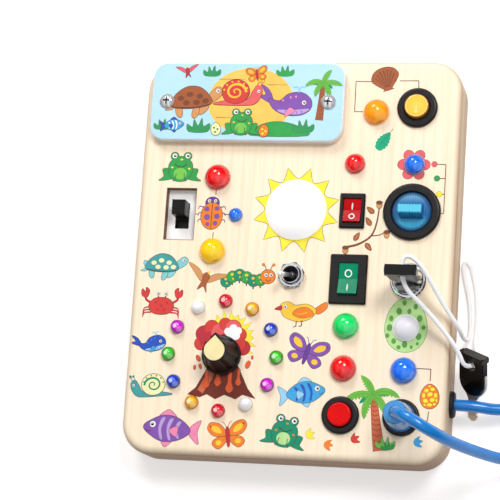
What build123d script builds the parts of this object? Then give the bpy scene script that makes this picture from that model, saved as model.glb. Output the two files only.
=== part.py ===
"""Wooden busy board: a hollow pine box whose face carries a dozen switches and lamps.

Frame: the board lies on its back. +Z is out of its face, +Y towards the edge with the battery cover,
+X to the right as one looks at the face. The origin is the middle of the back, in the plane of its rim.
Lengths are in millimetres.
"""

import os
from math import cos, pi, radians, sin, tan

from build123d import *

# ---------------------------------------------------------------- driving dimensions
# Board
board_width = 192.0
board_height = 240.0
board_thickness = 30.0
corner_radius = 18.0
face_round = 5.0
back_round = 1.5
face_panel = 5.5
wall = 9.0
rim = 6.0
panel_thickness = 3.0
panel_recess = 0.4

# Clearances
panel_gap = 0.25
seat_gap = 0.15
running_gap = 0.05
moving_gap = 0.3

# Where things stand on the face: columns near the sides are set in from the board's left or right edge,
# rows near the ends from its top or bottom edge, and the rest count from the middle
switch_inset = 26.4
right_inset = 26.0
left_dome_step = 21.5
small_dome_step = 34.1
ring_x = -37.8
centre_x = 1.0
middle_x = 34.7
yellow_inset = 29.0
orange_inset = 31.8
flower_row = 56.6
left_red_row = 47.1
lamp_row = 28.0
motif_row = 24.3
left_yellow_row = 2.1
toggle_row = -11.5
lock_row = -13.0
ring_inset = 59.6
jack_inset = 27.2
egg_share = 0.3446
pair_share = 0.6579
orange_share = 0.603

# Battery cover, tray and cells
cover_right = 27.0
cover_side_inset = 5.0
cover_top_inset = 3.2
cover_height = 48.4
cover_thickness = 6.0
cover_corner = 9.0
cover_round = 1.0
cover_screw_inset = 9.5
screw_head_radius = 4.5
screw_head_height = 2.4
screw_shank_radius = 1.5
screw_recess_length = 4.6
screw_recess_width = 1.0
screw_recess_depth = 1.3
insert_radius = 2.8
cell_radius = 5.25
cell_length = 44.5
cell_pitch = 11.1
cell_count = 3
cell_nub_radius = 1.9
cell_nub_height = 0.8
tray_wall = 1.2
tray_depth = 14.0
tray_flange = 2.0
tray_flange_thickness = 1.2
tray_end_room = 2.6
contact_thickness = 0.5
contact_width = 7.0
contact_height = 8.0

# Lamps
dome_radius = 7.3
dome_flange_radius = 7.75
dome_flange_thickness = 0.8
dome_stem_radius = 6.0
dome_stem_depth = 8.0
frosted_height = 5.2
medium_radius = 5.7
medium_flange_radius = 6.1
medium_stem_radius = 4.6
small_radius = 3.9
small_flange_radius = 4.2
small_stem_radius = 3.0
ring_radius = 32.6
ring_led_radius = 4.0
ring_led_collar = 1.0
ring_led_flange_radius = 4.7
ring_led_flange_thickness = 1.3
circuit_thickness = 1.6
ring_board_margin = 5.8
sun_radius = 18.2
sun_height = 8.6
sun_flange_thickness = 0.9
sun_stem_radius = 15.8
sun_shell = 1.6
sun_board_radius = 18.8
sun_led_width = 3.5
control_width = 16.0
control_height = 52.0
control_pad = 3.0
control_pad_width = 8.0
chip_width = 14.0
chip_height = 8.0
chip_thickness = 1.8

# Slide switch
window_width = 18.1
window_height = 31.4
slide_plate_margin = 3.4
slide_plate_thickness = 1.2
slider_width = 8.0
slider_length = 8.8
slider_height = 5.6
slider_travel = 6.4
slider_foot_margin = 1.2
slider_foot_thickness = 3.0
slider_ridges = 5
slider_ridge_pitch = 1.5
slider_ridge_width = 0.7
slider_ridge_depth = 0.5
slider_nose = 1.6
slide_body_width = 14.0
slide_body_height = 30.0
slide_body_depth = 7.4

# Floor left under the bores of the round switches and the lock
switch_floor = 1.4

# Toggle switch
toggle_turn = 207.0
toggle_tilt = 17.0
toggle_bushing_radius = 5.9
toggle_bushing_height = 5.2
toggle_nut_flats = 14.0
toggle_nut_thickness = 2.4
toggle_washer_radius = 7.6
toggle_washer_thickness = 0.7
toggle_pivot_height = 0.6
toggle_ball_radius = 2.45
toggle_mouth_radius = 4.5
toggle_lever_height = 17.0
toggle_lever_neck = 1.25
toggle_lever_tip = 1.75
toggle_body_length = 18.0
toggle_body_width = 13.0
toggle_body_depth = 11.0

# Rocker switches
red_bezel_width = 15.0
red_bezel_height = 21.0
red_button_width = 10.2
red_button_length = 14.4
green_bezel_width = 22.0
green_bezel_height = 29.6
green_button_width = 11.2
green_button_length = 19.0
rocker_bezel_thickness = 1.9
rocker_bezel_edge = 0.8
rocker_body_inset = 0.9
rocker_body_depth = 13.0
rocker_tilt = 9.0
rocker_rise = 13.0
rocker_well = 5.0
rocker_pivot_height = 0.6

# Rotary light switch
rotary_bezel_radius = 17.0
rotary_bezel_height = 2.6
rotary_bezel_edge = 1.6
rotary_disc_radius = 11.7
rotary_disc_thickness = 2.6
rotary_disc_rise = 1.7
rotary_body_radius = 13.4
rotary_shaft_radius = 4.0
rotary_depth = 15.0
grip_length = 13.6
grip_top_width = 4.2
grip_base_width = 8.0
grip_height = 9.5
grip_ribs = 8
grip_rib_pitch = 1.7
grip_rib_width = 0.8
grip_rib_rise = 0.45

# Push buttons
yellow_bezel_radius = 12.0
yellow_cap_radius = 7.3
red_push_bezel_radius = 11.0
red_push_cap_radius = 6.9
push_bezel_height = 2.4
push_bezel_edge = 1.5
push_body_radius = 8.6
push_depth = 16.0
push_stem_radius = 2.0
push_cap_rise = 3.4
push_cap_edge = 1.1
push_travel = 2.5
push_well = 7.2
push_spring_room = 1.2
push_spring_radius = 4.0
push_spring_wire = 0.7
push_spring_turns = 3.0

# Key lock and keys
lock_base_radius = 10.5
lock_base_height = 2.2
lock_front_radius = 9.2
lock_front_height = 4.6
lock_body_radius = 8.0
lock_depth = 20.0
lock_plug_radius = 4.7
lock_plug_recess = 0.5
keyway_gap = 0.12
bow_width = 18.4
bow_height = 26.5
bow_round = 9.5
bow_thickness = 4.6
bow_bar_height = 4.0
bow_bar_thickness = 6.2
bow_corner = 1.2
bow_edge = 0.6
bow_hole_radius = 3.2
bow_hole_drop = 7.2
bow_lift = 3.4
blade_width = 6.0
blade_thickness = 1.9
blade_length = 17.0
blade_shoulder = 11.0
blade_shoulder_drop = 3.0
head_margin = 0.8
head_height = 15.5
blade_notch = 1.1
blade_notches = 4
blade_notch_pitch = 3.2
spare_key_x = 108.4
spare_key_y = -75.3
spare_key_turn = 2.5
spare_key_pitch = 36.0
spare_key_roll = 34.0
spare_tip_radius = 1.3

# Selector knob and its switch
knob_skirt_radius = 11.6
knob_skirt_height = 2.6
knob_lift = 0.5
knob_body_radius = 10.9
knob_height = 20.4
knob_top_radius = 7.2
knob_tip = 10.4
knob_grooves = 10
knob_groove_radius = 2.4
knob_groove_depth = 0.8
knob_pocket = 1.0
pointer_margin = 1.1
pointer_rise = 0.15
selector_shaft_radius = 3.0
selector_bushing_radius = 4.5
selector_bushing_height = 4.5
selector_body_radius = 13.0
selector_body_depth = 10.0
selector_nut_flats = 12.0

# Jack socket, plug and side grommet
jack_bezel_radius = 10.75
jack_bezel_height = 2.2
jack_bezel_edge = 1.2
jack_body_radius = 6.0
jack_bore_radius = 3.25
jack_depth = 17.0
plug_pin_radius = 3.175
plug_groove_depth = 0.35
plug_groove_width = 0.8
plug_shell_radius = 7.9
plug_flare_radius = 8.6
plug_neck_radius = 6.0
plug_shell_height = 23.0
plug_lift = 0.3
cable_radius = 3.4
cable_socket = 7.0
grommet_inset = 37.8
grommet_z = 15.0
grommet_flange_radius = 7.8
grommet_flange = 2.6
grommet_barrel_radius = 5.6
grommet_socket = 6.0

# Nuts behind the face
panel_nut_thickness = 3.0
rotary_nut_flats = 31.0
push_nut_flats = 21.0
lock_nut_flats = 20.0
jack_nut_flats = 16.0

# String between the two keys
string_radius = 1.3

# ---------------------------------------------------------------- derived levels
face_z = board_thickness
inner_z = face_z - face_panel
bay_floor_z = panel_recess + panel_thickness

# ---------------------------------------------------------------- derived places on the face
switch_x = switch_inset - board_width / 2
right_x = board_width / 2 - right_inset
left_dome_x = switch_x + left_dome_step
small_dome_x = switch_x + small_dome_step
yellow_row = board_height / 2 - yellow_inset
orange_row = board_height / 2 - orange_inset
ring_row = ring_inset - board_height / 2
jack_row = jack_inset - board_height / 2
egg_row = lock_row + egg_share * (jack_row - lock_row)
pair_row = lock_row + pair_share * (jack_row - lock_row)
grommet_y = grommet_inset - board_height / 2
cover_width = cover_right + board_width / 2 - cover_side_inset
cover_x = cover_right - cover_width / 2
cover_y = board_height / 2 - cover_top_inset - cover_height / 2
cover_screw_spacing = cover_width - 2 * cover_screw_inset
orange_x = cover_right + orange_share * (right_x - yellow_bezel_radius - cover_right)
ring_board_outer = ring_radius + ring_board_margin
ring_board_inner = ring_radius - ring_board_margin
control_x = (ring_x + ring_board_outer + middle_x - push_nut_flats / 2 / cos(radians(30))) / 2
control_y = pair_row


def upright(x, y):
    """Vertical sketch plane through a vertical axis: sketch x is outwards, sketch y is up."""
    return Plane((x, y, 0), x_dir=(1, 0, 0), z_dir=(0, -1, 0))


def column(x, y):
    """Vertical axis through a spot on the face."""
    return Axis((x, y, 0), (0, 0, 1))


def ring_spots(*hours):
    """Places on the lamp ring, counted like the hours of a clock."""
    bearings = [radians(90 - 30 * hour) for hour in hours]
    return [(ring_x + ring_radius * cos(a), ring_row + ring_radius * sin(a)) for a in bearings]


# Where each lamp of each size stands
red_dome_spots = [(left_dome_x, left_red_row), (middle_x, pair_row)]
yellow_dome_spots = [(left_dome_x, left_yellow_row)]
orange_dome_spots = [(orange_x, orange_row)]
green_dome_spots = [(middle_x, egg_row)]
blue_dome_spots = [(right_x, pair_row)]
frosted_dome_spots = [(right_x, egg_row)]
large_spots = red_dome_spots + yellow_dome_spots + orange_dome_spots
large_spots += green_dome_spots + blue_dome_spots + frosted_dome_spots
red_medium_spots = [(middle_x, flower_row)]
blue_medium_spots = [(right_x, flower_row)]
blue_small_spots = [(small_dome_x, motif_row)]
cover_screw_spots = [(cover_x + side * cover_screw_spacing / 2, cover_y) for side in (-1, 1)]

# Battery tray, worked out from the cells it holds
tray_length = cell_length + 2 * (tray_end_room + tray_wall)
tray_width = cell_count * cell_pitch + 2 * tray_wall
tray_top_z = face_z
tray_bottom_z = face_z - tray_depth
cell_z = tray_bottom_z + tray_wall + cell_radius + seat_gap

# ---------------------------------------------------------------- wooden box
with BuildPart() as wood_housing:
    with BuildSketch():
        RectangleRounded(board_width, board_height, corner_radius)
    extrude(amount=board_thickness)
    fillet(wood_housing.faces().sort_by(Axis.Z)[-1].edges(), face_round)
    fillet(wood_housing.faces().sort_by(Axis.Z)[0].edges(), back_round)
    # The bay for the electronics, and the step that the back panel sits on
    with BuildSketch():
        RectangleRounded(board_width - 2 * wall, board_height - 2 * wall, corner_radius - wall)
    extrude(amount=inner_z, mode=Mode.SUBTRACT)
    with BuildSketch():
        RectangleRounded(board_width - 2 * rim, board_height - 2 * rim, corner_radius - rim)
    extrude(amount=bay_floor_z, mode=Mode.SUBTRACT)
    # Two pads that carry the control board
    with BuildSketch(Plane.XY.offset(inner_z - control_pad)):
        with Locations((control_x, control_y)):
            with GridLocations(0, control_height - control_pad_width, 1, 2):
                Rectangle(control_width, control_pad_width)
    extrude(amount=control_pad + face_panel / 2)
    # Everything that passes through the face
    with BuildSketch(Plane.XY.offset(inner_z)):
        with Locations(*large_spots):
            Circle(dome_stem_radius + seat_gap)
        with Locations(*red_medium_spots, *blue_medium_spots):
            Circle(medium_stem_radius + seat_gap)
        with Locations(*blue_small_spots):
            Circle(small_stem_radius + seat_gap)
        with Locations(*ring_spots(*range(12))):
            Circle(ring_led_radius + seat_gap)
        with Locations((centre_x, lamp_row)):
            Circle(sun_stem_radius + seat_gap)
        with Locations((switch_x, motif_row)):
            Rectangle(window_width, window_height)
        with Locations((centre_x, toggle_row)):
            Circle(toggle_bushing_radius + seat_gap)
        with Locations((middle_x, lamp_row)):
            Rectangle(
                red_bezel_width - 2 * rocker_body_inset + 2 * seat_gap,
                red_bezel_height - 2 * rocker_body_inset + 2 * seat_gap,
            )
        with Locations((middle_x, lock_row)):
            Rectangle(
                green_bezel_width - 2 * rocker_body_inset + 2 * seat_gap,
                green_bezel_height - 2 * rocker_body_inset + 2 * seat_gap,
            )
        with Locations((right_x, lamp_row)):
            Circle(rotary_body_radius + seat_gap)
        with Locations((right_x, yellow_row), (middle_x, jack_row)):
            Circle(push_body_radius + seat_gap)
        with Locations((right_x, lock_row)):
            Circle(lock_body_radius + seat_gap)
        with Locations((right_x, jack_row)):
            Circle(jack_body_radius + seat_gap)
        with Locations((ring_x, ring_row)):
            Circle(selector_bushing_radius + seat_gap)
        with Locations((cover_x, cover_y)):
            Rectangle(tray_length + 2 * seat_gap, tray_width + 2 * seat_gap)
        with Locations(*cover_screw_spots):
            Circle(insert_radius)
    extrude(amount=face_panel, mode=Mode.SUBTRACT)
    # The step in the face that the tray's flange lies in
    with BuildSketch(Plane.XY.offset(face_z - tray_flange_thickness - seat_gap)):
        with Locations((cover_x, cover_y)):
            Rectangle(tray_length + 2 * (tray_flange + seat_gap), tray_width + 2 * (tray_flange + seat_gap))
    extrude(amount=tray_flange_thickness + seat_gap, mode=Mode.SUBTRACT)
    # The hole for the cable's grommet in the right wall
    with BuildSketch(Plane.YZ.offset(board_width / 2 - wall)):
        with Locations((grommet_y, grommet_z)):
            Circle(grommet_barrel_radius + seat_gap)
    extrude(amount=wall, mode=Mode.SUBTRACT)

with BuildPart() as back_panel:
    with BuildSketch(Plane.XY.offset(panel_recess)):
        inset = rim + panel_gap
        RectangleRounded(board_width - 2 * inset, board_height - 2 * inset, corner_radius - inset)
    extrude(amount=panel_thickness)
    chamfer(back_panel.faces().sort_by(Axis.Z)[0].edges(), panel_recess)

# ---------------------------------------------------------------- battery cover and what it closes
with BuildPart() as cover_plate:
    with BuildSketch(Plane.XY.offset(face_z)):
        with Locations((cover_x, cover_y)):
            RectangleRounded(cover_width, cover_height, cover_corner)
        with Locations(*cover_screw_spots):
            Circle(screw_shank_radius + seat_gap, mode=Mode.SUBTRACT)
    extrude(amount=cover_thickness)
    top_outline = cover_plate.faces().sort_by(Axis.Z)[-1].outer_wire().edges()
    fillet(top_outline, cover_round)

with BuildPart() as screw_form:
    head_z = face_z + cover_thickness
    with BuildSketch(upright(0, 0)):
        with BuildLine():
            Polyline(
                (0, head_z + screw_head_height),
                (0, inner_z),
                (screw_shank_radius, inner_z),
                (screw_shank_radius, head_z),
                (screw_head_radius, head_z),
                (screw_head_radius, head_z + screw_head_height / 4),
            )
            crown = screw_head_height * 3 / 4
            RadiusArc(
                (screw_head_radius, head_z + screw_head_height / 4),
                (0, head_z + screw_head_height),
                -(screw_head_radius**2 + crown**2) / (2 * crown),
            )
        make_face()
    revolve(axis=column(0, 0))
    with BuildSketch(Plane.XY.offset(head_z + screw_head_height - screw_recess_depth)):
        Rectangle(screw_recess_length, screw_recess_width)
        Rectangle(screw_recess_width, screw_recess_length)
    extrude(amount=screw_recess_depth, mode=Mode.SUBTRACT)

with BuildPart() as cover_screws:
    with Locations(*cover_screw_spots):
        add(screw_form.part)

with BuildPart() as cover_inserts:
    with BuildSketch(Plane.XY.offset(inner_z)):
        with Locations(*cover_screw_spots):
            Circle(insert_radius)
            Circle(screw_shank_radius + running_gap, mode=Mode.SUBTRACT)
    extrude(amount=face_panel)

cell_rows = [cover_y + (index - (cell_count - 1) / 2) * cell_pitch for index in range(cell_count)]

with BuildPart() as battery_tray:
    with BuildSketch(Plane.XY.offset(tray_bottom_z)):
        with Locations((cover_x, cover_y)):
            Rectangle(tray_length, tray_width)
    extrude(amount=tray_depth)
    with BuildSketch(Plane.XY.offset(tray_top_z - tray_flange_thickness)):
        with Locations((cover_x, cover_y)):
            Rectangle(tray_length + 2 * tray_flange, tray_width + 2 * tray_flange)
    extrude(amount=tray_flange_thickness)
    # A trough under each cell, open upwards, with a rib left between two troughs
    with BuildSketch(Plane.YZ.offset(cover_x - tray_length / 2 + tray_wall)):
        for row in cell_rows:
            with Locations((row, cell_z)):
                Circle(cell_radius + seat_gap)
            with Locations((row, (cell_z + tray_top_z) / 2)):
                Rectangle(2 * (cell_radius + seat_gap), tray_top_z - cell_z)
    extrude(amount=tray_length - 2 * tray_wall, mode=Mode.SUBTRACT)

with BuildPart() as battery_cells:
    for index, row in enumerate(cell_rows):
        facing = 1 if index % 2 == 0 else -1
        start = cover_x - facing * cell_length / 2
        body_length = cell_length - cell_nub_height
        with BuildSketch(Plane((start, row, cell_z), x_dir=(0, 1, 0), z_dir=(facing, 0, 0))):
            Circle(cell_radius)
        extrude(amount=body_length)
        nub_foot = start + facing * body_length
        with BuildSketch(Plane((nub_foot, row, cell_z), x_dir=(0, 1, 0), z_dir=(facing, 0, 0))):
            Circle(cell_nub_radius)
        extrude(amount=cell_nub_height)

# A bent leaf at each cell end: flat against the tray's wall, then out to the cell
leaf_reach = tray_end_room - contact_thickness
with BuildPart() as battery_contacts:
    for row in cell_rows:
        for side in (-1, 1):
            wall_x = cover_x + side * (tray_length / 2 - tray_wall)
            low = -contact_height / 2
            with BuildSketch(Plane((wall_x, row, cell_z), x_dir=(-side, 0, 0), z_dir=(0, side, 0))):
                with BuildLine():
                    Polyline(
                        (0, low),
                        (contact_thickness, low),
                        (contact_thickness, contact_height / 4),
                        (tray_end_room, 0.8),
                        (tray_end_room, -0.8),
                        (tray_end_room - contact_thickness, -0.8),
                        (tray_end_room - contact_thickness, 0.4),
                        (contact_thickness, contact_height / 2 - contact_thickness),
                        (0, contact_height / 2),
                        close=True,
                    )
                make_face()
            extrude(amount=contact_width / 2, both=True)

# ---------------------------------------------------------------- lamps


def dome_lens(radius, height, flange_radius, stem_radius, spots):
    """Moulded lens: a dome on a thin flange that lies on the face, and a stem through it."""
    dome_z = face_z + dome_flange_thickness
    with BuildPart() as lens:
        with BuildSketch(upright(0, 0)):
            with BuildLine():
                Polyline(
                    (0, dome_z + height),
                    (0, face_z - dome_stem_depth),
                    (stem_radius, face_z - dome_stem_depth),
                    (stem_radius, face_z),
                    (flange_radius, face_z),
                    (flange_radius, dome_z),
                    (radius, dome_z),
                )
                round_radius = (radius**2 + height**2) / (2 * height)
                RadiusArc((radius, dome_z), (0, dome_z + height), -round_radius)
            make_face()
        revolve(axis=column(0, 0))
    return [lens.part.moved(Location((x, y, 0))) for x, y in spots]


def large_domes(spots, height=dome_radius):
    return dome_lens(dome_radius, height, dome_flange_radius, dome_stem_radius, spots)


def medium_domes(spots):
    return dome_lens(medium_radius, medium_radius, medium_flange_radius, medium_stem_radius, spots)


def small_domes(spots):
    return dome_lens(small_radius, small_radius, small_flange_radius, small_stem_radius, spots)


def ring_leds(*hours):
    """Round-nosed lamps pushed through the face from behind, each with a flange that stops it."""
    flange_top = inner_z
    with BuildPart() as led:
        with BuildSketch(upright(0, 0)):
            with BuildLine():
                Polyline(
                    (0, face_z + ring_led_collar + ring_led_radius),
                    (0, flange_top - ring_led_flange_thickness),
                    (ring_led_flange_radius, flange_top - ring_led_flange_thickness),
                    (ring_led_flange_radius, flange_top),
                    (ring_led_radius, flange_top),
                    (ring_led_radius, face_z + ring_led_collar),
                )
                CenterArc((0, face_z + ring_led_collar), ring_led_radius, 0, 90)
            make_face()
        revolve(axis=column(0, 0))
    return [led.part.moved(Location((x, y, 0))) for x, y in ring_spots(*hours)]


with BuildPart() as dome_lenses_red:
    add(large_domes(red_dome_spots))
    add(medium_domes(red_medium_spots))

with BuildPart() as dome_lens_yellow:
    add(large_domes(yellow_dome_spots))

with BuildPart() as dome_lens_orange:
    add(large_domes(orange_dome_spots))

with BuildPart() as dome_lens_green:
    add(large_domes(green_dome_spots))

with BuildPart() as dome_lenses_blue:
    add(large_domes(blue_dome_spots))
    add(medium_domes(blue_medium_spots))
    add(small_domes(blue_small_spots))

with BuildPart() as dome_lens_frosted:
    add(large_domes(frosted_dome_spots, frosted_height))

with BuildPart() as ring_leds_red:
    add(ring_leds(0, 6))

with BuildPart() as ring_leds_gold:
    add(ring_leds(1, 7))

with BuildPart() as ring_leds_blue:
    add(ring_leds(2, 8))

with BuildPart() as ring_leds_green:
    add(ring_leds(3, 9))

with BuildPart() as ring_leds_magenta:
    add(ring_leds(4, 10))

with BuildPart() as ring_leds_white:
    add(ring_leds(5, 11))

sun_top = face_z + sun_flange_thickness + sun_height
sun_curve = (sun_radius**2 + sun_height**2) / (2 * sun_height)
sun_board_z = inner_z
with BuildPart() as sun_lamp_dome:
    inner_radius = sun_stem_radius - sun_shell
    inner_curve = sun_curve - sun_shell
    centre_z = sun_top - sun_curve
    shoulder_z = centre_z + (inner_curve**2 - inner_radius**2) ** 0.5
    with BuildSketch(upright(centre_x, lamp_row)):
        with BuildLine():
            Polyline(
                (inner_radius, shoulder_z),
                (inner_radius, sun_board_z),
                (sun_stem_radius, sun_board_z),
                (sun_stem_radius, face_z),
                (sun_radius, face_z),
                (sun_radius, face_z + sun_flange_thickness),
            )
            RadiusArc((sun_radius, face_z + sun_flange_thickness), (0, sun_top), -sun_curve)
            Line((0, sun_top), (0, sun_top - sun_shell))
            RadiusArc((0, sun_top - sun_shell), (inner_radius, shoulder_z), inner_curve)
        make_face()
    revolve(axis=column(centre_x, lamp_row))

# Three circuit boards: the ring's lies against the flanges of its lamps, the sun's closes its dome,
# and the one with the controller is glued to two pads of the housing
ring_board_top = inner_z - ring_led_flange_thickness
control_board_top = inner_z - control_pad
with BuildPart() as circuit_boards:
    with BuildSketch(Plane.XY.offset(ring_board_top - circuit_thickness)):
        with Locations((ring_x, ring_row)):
            Circle(ring_board_outer)
            Circle(ring_board_inner, mode=Mode.SUBTRACT)
    extrude(amount=circuit_thickness)
    with BuildSketch(Plane.XY.offset(sun_board_z - circuit_thickness)):
        with Locations((centre_x, lamp_row)):
            Circle(sun_board_radius)
    extrude(amount=circuit_thickness)
    with BuildSketch(Plane.XY.offset(sun_board_z)):
        with Locations((centre_x, lamp_row)):
            with PolarLocations(sun_stem_radius / 2, 4):
                Rectangle(sun_led_width, sun_led_width)
    extrude(amount=circuit_thickness)
    with BuildSketch(Plane.XY.offset(control_board_top - circuit_thickness)):
        with Locations((control_x, control_y)):
            Rectangle(control_width, control_height)
    extrude(amount=circuit_thickness)
    with BuildSketch(Plane.XY.offset(control_board_top - circuit_thickness - chip_thickness)):
        with Locations((control_x, control_y)):
            Rectangle(chip_width, chip_height)
    extrude(amount=chip_thickness)

# ---------------------------------------------------------------- slide switch
slot_length = slider_length + slider_travel + 2 * moving_gap
slide_plate_bottom = inner_z - slide_plate_thickness
slider_y = motif_row + slider_travel / 2
foot_length = slider_length + 2 * slider_foot_margin
foot_width = slider_width + 2 * slider_foot_margin

with BuildPart() as slide_switch_plate:
    with BuildSketch(Plane.XY.offset(slide_plate_bottom)):
        with Locations((switch_x, motif_row)):
            Rectangle(window_width + 2 * slide_plate_margin, window_height + 2 * slide_plate_margin)
            Rectangle(slider_width + 2 * moving_gap, slot_length, mode=Mode.SUBTRACT)
    extrude(amount=slide_plate_thickness)

with BuildPart() as slide_switch_body:
    with BuildSketch(Plane.XY.offset(slide_plate_bottom - slide_body_depth)):
        with Locations((switch_x, motif_row)):
            Rectangle(slide_body_width, slide_body_height)
    extrude(amount=slide_body_depth)
    with BuildSketch(Plane.XY.offset(slide_plate_bottom - slider_foot_thickness - moving_gap)):
        with Locations((switch_x, motif_row)):
            Rectangle(foot_width + 2 * moving_gap, foot_length + slider_travel + 2 * moving_gap)
    extrude(amount=slider_foot_thickness + moving_gap, mode=Mode.SUBTRACT)
    # Three solder lugs
    with BuildSketch(Plane.XY.offset(slide_plate_bottom - slide_body_depth)):
        with Locations((switch_x, motif_row)):
            with GridLocations(0, slide_body_height / 4, 1, 3):
                Rectangle(2.4, 0.8)
    extrude(amount=-3.2)

with BuildPart() as slide_switch_slider:
    slider_top = face_z + slider_height
    foot_top = slide_plate_bottom - moving_gap / 2
    with BuildSketch(Plane.XY.offset(foot_top - slider_foot_thickness + moving_gap)):
        with Locations((switch_x, slider_y)):
            Rectangle(foot_width, foot_length)
    extrude(amount=slider_foot_thickness - moving_gap)
    # The thumb piece, seen from the side: upright at the back, with a slanted nose in front
    with BuildSketch(Plane.YZ.offset(switch_x - slider_width / 2)):
        with BuildLine():
            back = slider_y + slider_length / 2
            front = slider_y - slider_length / 2
            Polyline(
                (back, foot_top - slider_foot_thickness / 2),
                (back, slider_top),
                (front + slider_nose / 2, slider_top),
                (front, slider_top - slider_nose),
                (front, foot_top - slider_foot_thickness / 2),
                close=True,
            )
        make_face()
    extrude(amount=slider_width)
    with BuildSketch(Plane.XY.offset(slider_top - slider_ridge_depth)):
        with Locations((switch_x, slider_y)):
            with GridLocations(0, slider_ridge_pitch, 1, slider_ridges):
                Rectangle(slider_width, slider_ridge_width)
    extrude(amount=slider_ridge_depth, mode=Mode.SUBTRACT)

# ---------------------------------------------------------------- toggle switch
toggle_way = Vector(cos(radians(toggle_turn)), sin(radians(toggle_turn)), 0)
toggle_axis = Vector(0, 0, 1).cross(toggle_way)
pivot = Vector(centre_x, toggle_row, face_z + toggle_pivot_height)
bushing_top = face_z + toggle_bushing_height

with BuildPart() as toggle_body:
    body_base = Plane((centre_x, toggle_row, inner_z - toggle_body_depth), x_dir=toggle_way, z_dir=(0, 0, 1))
    with BuildSketch(body_base):
        Rectangle(toggle_body_length, toggle_body_width)
    extrude(amount=toggle_body_depth)
    with BuildSketch(body_base):
        with GridLocations(toggle_body_length / 3, 0, 3, 1):
            Rectangle(0.8, 3.0)
    extrude(amount=-4.0)

with BuildPart() as toggle_bushing:
    with BuildSketch(upright(centre_x, toggle_row)):
        seat_z = pivot.Z + toggle_ball_radius / 2
        mouth_z = bushing_top - 1.0
        with BuildLine():
            Polyline(
                (toggle_ball_radius + running_gap, inner_z),
                (toggle_bushing_radius, inner_z),
                (toggle_bushing_radius, bushing_top - 0.6),
                (toggle_bushing_radius - 0.6, bushing_top),
                (toggle_mouth_radius + 0.3, bushing_top),
                (toggle_mouth_radius, mouth_z),
                (toggle_ball_radius + running_gap, seat_z),
                close=True,
            )
        make_face()
    revolve(axis=column(centre_x, toggle_row))

with BuildPart() as toggle_washer:
    with BuildSketch(Plane.XY.offset(face_z)):
        with Locations((centre_x, toggle_row)):
            Circle(toggle_washer_radius)
            Circle(toggle_bushing_radius + running_gap, mode=Mode.SUBTRACT)
    extrude(amount=toggle_washer_thickness)


def hex_nut(x, y, z, flats, bore, thickness, turn=0.0):
    """Hexagon nut with both its ends turned round, standing on z."""
    corner = flats / 2 / cos(radians(30))
    with BuildPart() as nut:
        first_corner = (cos(radians(turn)), sin(radians(turn)), 0)
        with BuildSketch(Plane((x, y, z), x_dir=first_corner, z_dir=(0, 0, 1))):
            RegularPolygon(corner, 6)
        extrude(amount=thickness)
        with BuildSketch(upright(x, y)):
            with BuildLine():
                edge = (corner - flats / 2) * 0.6
                Polyline(
                    (0, z),
                    (flats / 2, z),
                    (corner, z + edge),
                    (corner, z + thickness - edge),
                    (flats / 2, z + thickness),
                    (0, z + thickness),
                    close=True,
                )
            make_face()
        revolve(axis=column(x, y), mode=Mode.INTERSECT)
        with BuildSketch(Plane((x, y, z))):
            Circle(bore)
        extrude(amount=thickness, mode=Mode.SUBTRACT)
    return nut.part


with BuildPart() as toggle_nut:
    add(
        hex_nut(
            centre_x,
            toggle_row,
            face_z + toggle_washer_thickness,
            toggle_nut_flats,
            toggle_bushing_radius + running_gap,
            toggle_nut_thickness,
            turn=12,
        )
    )

with BuildPart() as toggle_lever:
    lean = toggle_way * sin(radians(toggle_tilt)) + Vector(0, 0, 1) * cos(radians(toggle_tilt))
    lever_plane = Plane(pivot, x_dir=toggle_axis, z_dir=toggle_axis.cross(lean))
    with BuildSketch(lever_plane):
        tip_z = toggle_lever_height - toggle_lever_tip
        with BuildLine():
            neck_z = (toggle_ball_radius**2 - toggle_lever_neck**2) ** 0.5
            Polyline((0, toggle_lever_height), (0, -toggle_ball_radius))
            ThreePointArc(
                (0, -toggle_ball_radius), (toggle_ball_radius, 0), (toggle_lever_neck, neck_z)
            )
            Line((toggle_lever_neck, neck_z), (toggle_lever_tip, tip_z))
            CenterArc((0, tip_z), toggle_lever_tip, 0, 90)
        make_face()
    revolve(axis=Axis(pivot, lean))

# ---------------------------------------------------------------- rocker switches


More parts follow.
